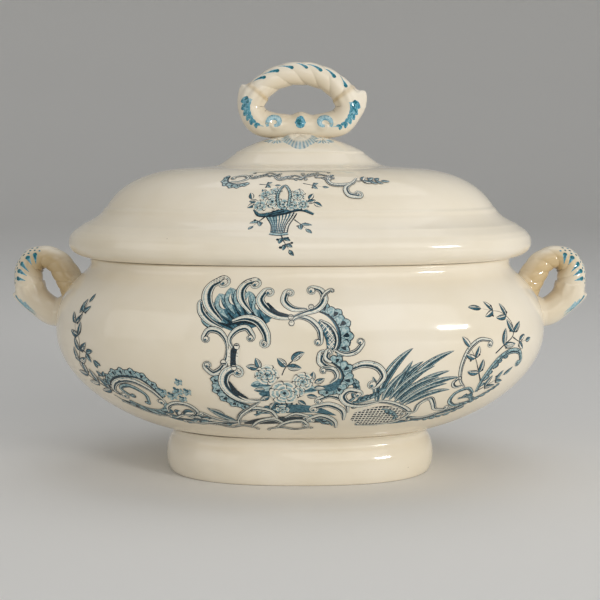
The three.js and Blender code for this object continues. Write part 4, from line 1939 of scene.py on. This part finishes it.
@dataclass
class HandPainting:
    """The brushwork on a loop, laid over the relief: commas on the rope, serrated leaves on the sheaths."""

    pen: Engraving

    def commas(self, places: Sequence[tuple[float, float]], length: float, lean: float) -> None:
        """Paints a row of comma strokes.

        Args:
            places: where each stroke's head lies, as (along, round).
            length: each stroke's length.
            lean: its direction from head to tail, in degrees.
        """
        for k, (along, round_mm) in enumerate(places):
            head = Vector((along, round_mm))
            path = curl_line(head, lean + 5 * (k % 3 - 1), 20, length * (1 + 0.12 * ((k * 7) % 3 - 1)))
            self.pen.mark(path, 2.3, PAINT, TAPER)
            self.pen.mark(path[: len(path) * 2 // 3], 1.5, BRUSH, TAPER)
            self.pen.dot(head, 2.0, BRUSH)

    def leaf(self, top: float, run: float, face: int) -> None:
        """Paints the serrated leaf on the front or back of a sheath.

        Args:
            top: where its top lies, along the loop.
            run: the way and distance down to its foot.
            face: 1 for the front, -1 for the back.
        """
        way = math.copysign(1, run)
        heading = 0.0 if run > 0 else 180.0
        body = curl_line(Vector((top, face * 9.4)), heading + 5 * way * face, 0, abs(run))
        self.pen.mark(body, 4.6, PALE, TAPER)
        for k in range(6):
            share = k / 6
            at = Vector((top + run * share * 0.9, face * (9.2 + 1.4 * share)))
            size = 5.0 * (1 - 0.55 * share)
            for splay in (-46, 34):
                path = curl_line(at, heading + splay * face * way, -30 * face * way, size)
                self.pen.mark(path, 2.9 * (1 - 0.45 * share), PAINT, LEAF)
                self.pen.mark(path, 0.7, BRUSH, TAPER, fine=True)
        for step, round_mm in ((0.02, 8.0), (0.1, 9.6), (0.2, 8.2)):
            self.pen.dot(Vector((top + run * step, face * round_mm)), 2.0 - 3 * step, BRUSH)

    def fern(self, along: float, round_mm: float, way: int, face: int) -> None:
        """Paints one rolled scroll of the bar.

        Args:
            along: its middle, along the loop.
            round_mm: its middle, round the section.
            way: 1 where it rolls up towards the loop's start, -1 the other way.
            face: 1 for the front, -1 for the back.
        """
        path = []
        for k in range(26):
            angle = math.radians(-40 + 12.4 * k)
            radius = 4.4 - 2.4 * (k / 25) ** 1.3
            across = along + way * radius * math.cos(angle)
            path.append(Vector((across, face * (round_mm + radius * math.sin(angle) * 0.95))))
        path = respace(path, 0.6)
        self.pen.mark(path, 3.8, PAINT, BELLY)
        self.pen.mark(path, 3.1, PALE, BELLY)

    def grip(self, loop: LidLoop) -> None:
        """Paints both faces of the lid's grip.

        Args:
            loop: the grip.
        """
        start, stop = loop.rope
        gap = loop.pitch * 0.76
        count = int((stop - start - 2) / gap)
        for face in (1, -1):
            self.commas([(start + 2.5 + k * gap, face * 7.2) for k in range(count)], 7.6, face * -34)
            self.leaf(start - 6.2, -18.0, face)
            self.leaf(stop + 5.8, 18.0, face)
            self.fern(14.8, 13.6, 1, face)
            self.fern(-15.6, 13.8, -1, face)
            bead = Vector((0.2, face * 14.4))
            self.pen.dot(bead, 6.6, PAINT)
            self.pen.dot(bead + Vector((-0.7, face * 0.5)), 3.4, BRUSH)

    def ear(self, loop: EarLoop) -> None:
        """Paints both faces of a side handle, with a scatter of dots down its outer edge.

        Args:
            loop: the handle.
        """
        start = loop.rope[0]
        for face in (1, -1):
            self.commas([(start + 5 + 3.7 * k, face * 8.2) for k in range(5)], 6.4, face * 98)
            for k in range(22):
                at = Vector((start + 2.0 + 0.95 * k, face * (2.0 + 4.6 * ((k * 0.618) % 1.0))))
                self.pen.dot(at, 1.0, BRUSH if k % 3 else PAINT)
            tail = Vector((start - 3.0, face * 5.0))
            for k in range(3):
                path = curl_line(tail + Vector((-2.0 * k, face * 1.4 * k)), 180 - 6 * face, 0, 13 - 2.6 * k)
                self.pen.mark(path, 1.9, PAINT if k == 0 else PALE, TAPER)
            self.pen.mark(curl_line(tail, 180, 0, 7), 0.8, BRUSH, TAPER)


# ---- the room ----------------------------------------------------------------------------------------------


def facing(place: Sequence, aim: Sequence) -> Euler:
    """The rotation of a lamp or camera at place that looks at aim."""
    return (Vector(aim) - Vector(place)).to_track_quat("-Z", "Y").to_euler()


@dataclass
class Studio:
    """A plain pale round room with a window strip to the right front and soft lamps about it, in metres."""

    floor_colour: str = "#EAE8E4"
    eye: tuple = (0.0, -0.760, 0.190)
    aim: tuple = (0.0, 0.0, 0.1027)
    lens: float = 74.6
    floor: float = 2.9  # radius of the flat floor
    reach: float = 1.2  # radius of the sweep from floor to wall
    wall: float = 3.6  # height of the wall
    middle: tuple = (0.0, 0.0, 0.1)  # what the lamps face
    lamps: tuple = (  # name, place, width and height, watts
        ("window", (1.21, -1.12, 0.395), (0.42, 0.08), 9.5),
        ("room", (0.9, -1.9, 1.1), (2.2, 1.4), 11.4),
        ("fill", (-1.5, -1.2, 0.5), (1.6, 1.2), 4.8),
        ("top", (0.2, 0.2, 1.9), (1.6, 1.2), 5.2),
    )

    def room(self) -> None:
        """Builds the floor, which sweeps up all round into a plain wall."""
        sheet = bmesh.new()
        line = [(x, 0.0) for x in (0.0, 0.7, 1.9, self.floor)]
        for angle in (0.3, 0.6, 0.9, 1.2, math.pi / 2):
            line.append((self.floor + self.reach * math.sin(angle), self.reach * (1 - math.cos(angle))))
        line.append((self.floor + self.reach, self.wall))
        spin_chain(sheet, [sheet.verts.new((x, 0, z)) for x, z in line], 72, 1e-5)
        sheet.faces.ensure_lookup_table()
        if sheet.faces[0].normal.z < 0:
            bmesh.ops.reverse_faces(sheet, faces=sheet.faces)
        mesh = bpy.data.meshes.new("floor")
        sheet.to_mesh(mesh)
        sheet.free()
        mesh.polygons.foreach_set("use_smooth", [True] * len(mesh.polygons))
        paper = bpy.data.materials.new("matt_backdrop_paper")
        paper.use_nodes = True
        shader = paper.node_tree.nodes["Principled BSDF"]
        shader.inputs["Base Color"].default_value = srgb(self.floor_colour)
        shader.inputs["Roughness"].default_value = 0.85
        mesh.materials.append(paper)
        floor = bpy.data.objects.new("floor", mesh)
        bpy.context.scene.collection.objects.link(floor)

    def lamp(self, name: str, place: Sequence, size: Sequence, power: float) -> None:
        """Hangs one soft rectangular lamp.

        Args:
            name: its name.
            place: where it hangs, in metres.
            size: its width and height, in metres.
            power: its power in watts.
        """
        light = bpy.data.lights.new(name, "AREA")
        light.shape = "RECTANGLE"
        light.size, light.size_y = size
        light.energy = power
        lamp = bpy.data.objects.new(name, light)
        lamp.location = place
        lamp.rotation_euler = facing(place, self.middle)
        bpy.context.scene.collection.objects.link(lamp)

    def make(self) -> None:
        """Sets up the room, its lamps and the camera."""
        scene = bpy.context.scene
        self.room()
        for lamp in self.lamps:
            self.lamp(*lamp)
        world = bpy.data.worlds.new("room")
        scene.world = world
        world.use_nodes = True
        sky = world.node_tree.nodes["Background"]
        sky.inputs["Color"].default_value = srgb("#D9DCE0")
        sky.inputs["Strength"].default_value = 0.5
        camera = bpy.data.cameras.new("camera")
        camera.lens = self.lens
        camera.sensor_width = 36.0
        eye = bpy.data.objects.new("camera", camera)
        eye.location = self.eye
        eye.rotation_euler = facing(self.eye, self.aim)
        scene.collection.objects.link(eye)
        scene.camera = eye
        scene.view_settings.view_transform = "Standard"


# ---- the tureen --------------------------------------------------------------------------------------------

# Each station is its place along X, its height and the clay's radius there.
LIFT_STATIONS = [
    (0, 208.5, 7.8), (13, 208.8, 7.6), (24.5, 211.6, 8.3), (29.3, 219.5, 7.8), (26.6, 227.2, 7.3),
    (18, 235.3, 6.9), (6.5, 239.6, 6.8), (-6.5, 239.6, 6.8), (-18, 235.3, 6.9), (-26.6, 227.2, 7.3),
    (-29.3, 219.5, 7.8), (-24.5, 211.6, 8.3), (-13, 208.8, 7.6),
]
EAR_STATIONS = [
    (149.5, 97, 10.3), (160.3, 102.6, 9), (165.3, 110, 8.7), (166.6, 118.5, 8.4), (163.8, 126, 7.8),
    (157, 129.3, 6.9), (148.8, 126.4, 7.2), (143.3, 118.8, 8), (139.7, 111, 8.2), (139.8, 102.5, 8.4),
]
LIFT_TIPS = [(39.0, 4.3, 0.4, 0.5), (105.0, 2.6, -1.0, 0.5)]
EAR_TIPS = [(20.5, 2.4, 1.6, 0.7)]
SIDES = (("right", False), ("left", True))
FACES = (("front", False), ("back", True))


def turn_pieces(bowl: Bowl, lid: Lid, glaze: Material) -> None:
    """Turns the bowl, its foot, the lid and its flange.

    Args:
        bowl: the bowl.
        lid: the lid.
        glaze: their material.
    """
    foot, flange = Foot(), Flange()
    for name, piece, body, node in (
        ("bowl_body", bowl, "bowl", "bowl"),
        ("foot_ring", foot, "bowl", "foot"),
        ("lid_shell", lid, "lid", "lid"),
        ("lid_flange_ring", flange, "lid", "lid_flange"),
    ):
        finish_piece(name, turn_oval(piece.whole(), piece.steps), glaze, body, [node])


def make_ears(bowl: Bowl, glaze: Material, inks: dict[Tone, Material]) -> None:
    """Models and paints the side handles.

    Args:
        bowl: the bowl that they spring from.
        glaze: their material.
        inks: the paints.
    """
    for side, mirrored in SIDES:
        # each ear's inner side carries strong painted shade and a painted warm reflection
        ear = EarLoop(
            EAR_STATIONS, (23.5, 86.0), 1.12, EAR_TIPS, 7.5, 0.42, mirrored, sheaths=1, honey_pool_and_shade=0.85, bowl=bowl
        )
        finish_piece(f"ear_{side}", ear.form(300, 112), glaze, "bowl", [f"handle_{side}"])
        pen = Engraving(ear.place, f"ear_{side}_painting", inks, mirrored, lift=0.07, weave=0.5)
        HandPainting(pen).ear(ear)
        pen.finish("bowl")


def print_pattern(bowl: Bowl, lid: Lid, inks: dict[Tone, Material]) -> None:
    """Prints both sides of the bowl and the lid.

    Args:
        bowl: the bowl.
        lid: the lid.
        inks: the inks.
    """
    for face, back in FACES:
        pen = Engraving(bowl.skin(back).place, f"bowl_print_{face}", inks)
        TransferPrint(pen).bowl_front()
        pen.finish("bowl")
        pen = Engraving(lid.skin(back).place, f"lid_print_{face}", inks)
        TransferPrint(pen).lid_front()
        pen.finish("lid")


def main() -> None:
    """Makes every piece of the tureen, then the room."""
    logging.basicConfig(level=logging.INFO, format="%(name)s %(message)s")
    glaze = IvoryGlaze().make()
    inks = {tone: TransferInk(*tone.value).make() for tone in Tone}
    bowl, lid = Bowl(), Lid()
    turn_pieces(bowl, lid, glaze)
    grip = LidLoop(LIFT_STATIONS, (43.5, 102.0), 1.08, LIFT_TIPS, lid=lid)
    finish_piece("lid_grip", grip.form(400, 112), glaze, "lid", ["lid_handle"])
    make_ears(bowl, glaze, inks)
    print_pattern(bowl, lid, inks)
    pen = Engraving(grip.place, "grip_painting", inks, lift=0.07, weave=0.5)
    HandPainting(pen).grip(grip)
    pen.finish("lid")
    for face, back in FACES:
        relief = ShellSprig(lid).form(back)
        finish_piece(f"shell_{face}", relief, glaze, "lid", [f"sprig_{face}"])
    Studio().make()


if __name__ == "__main__":
    main()
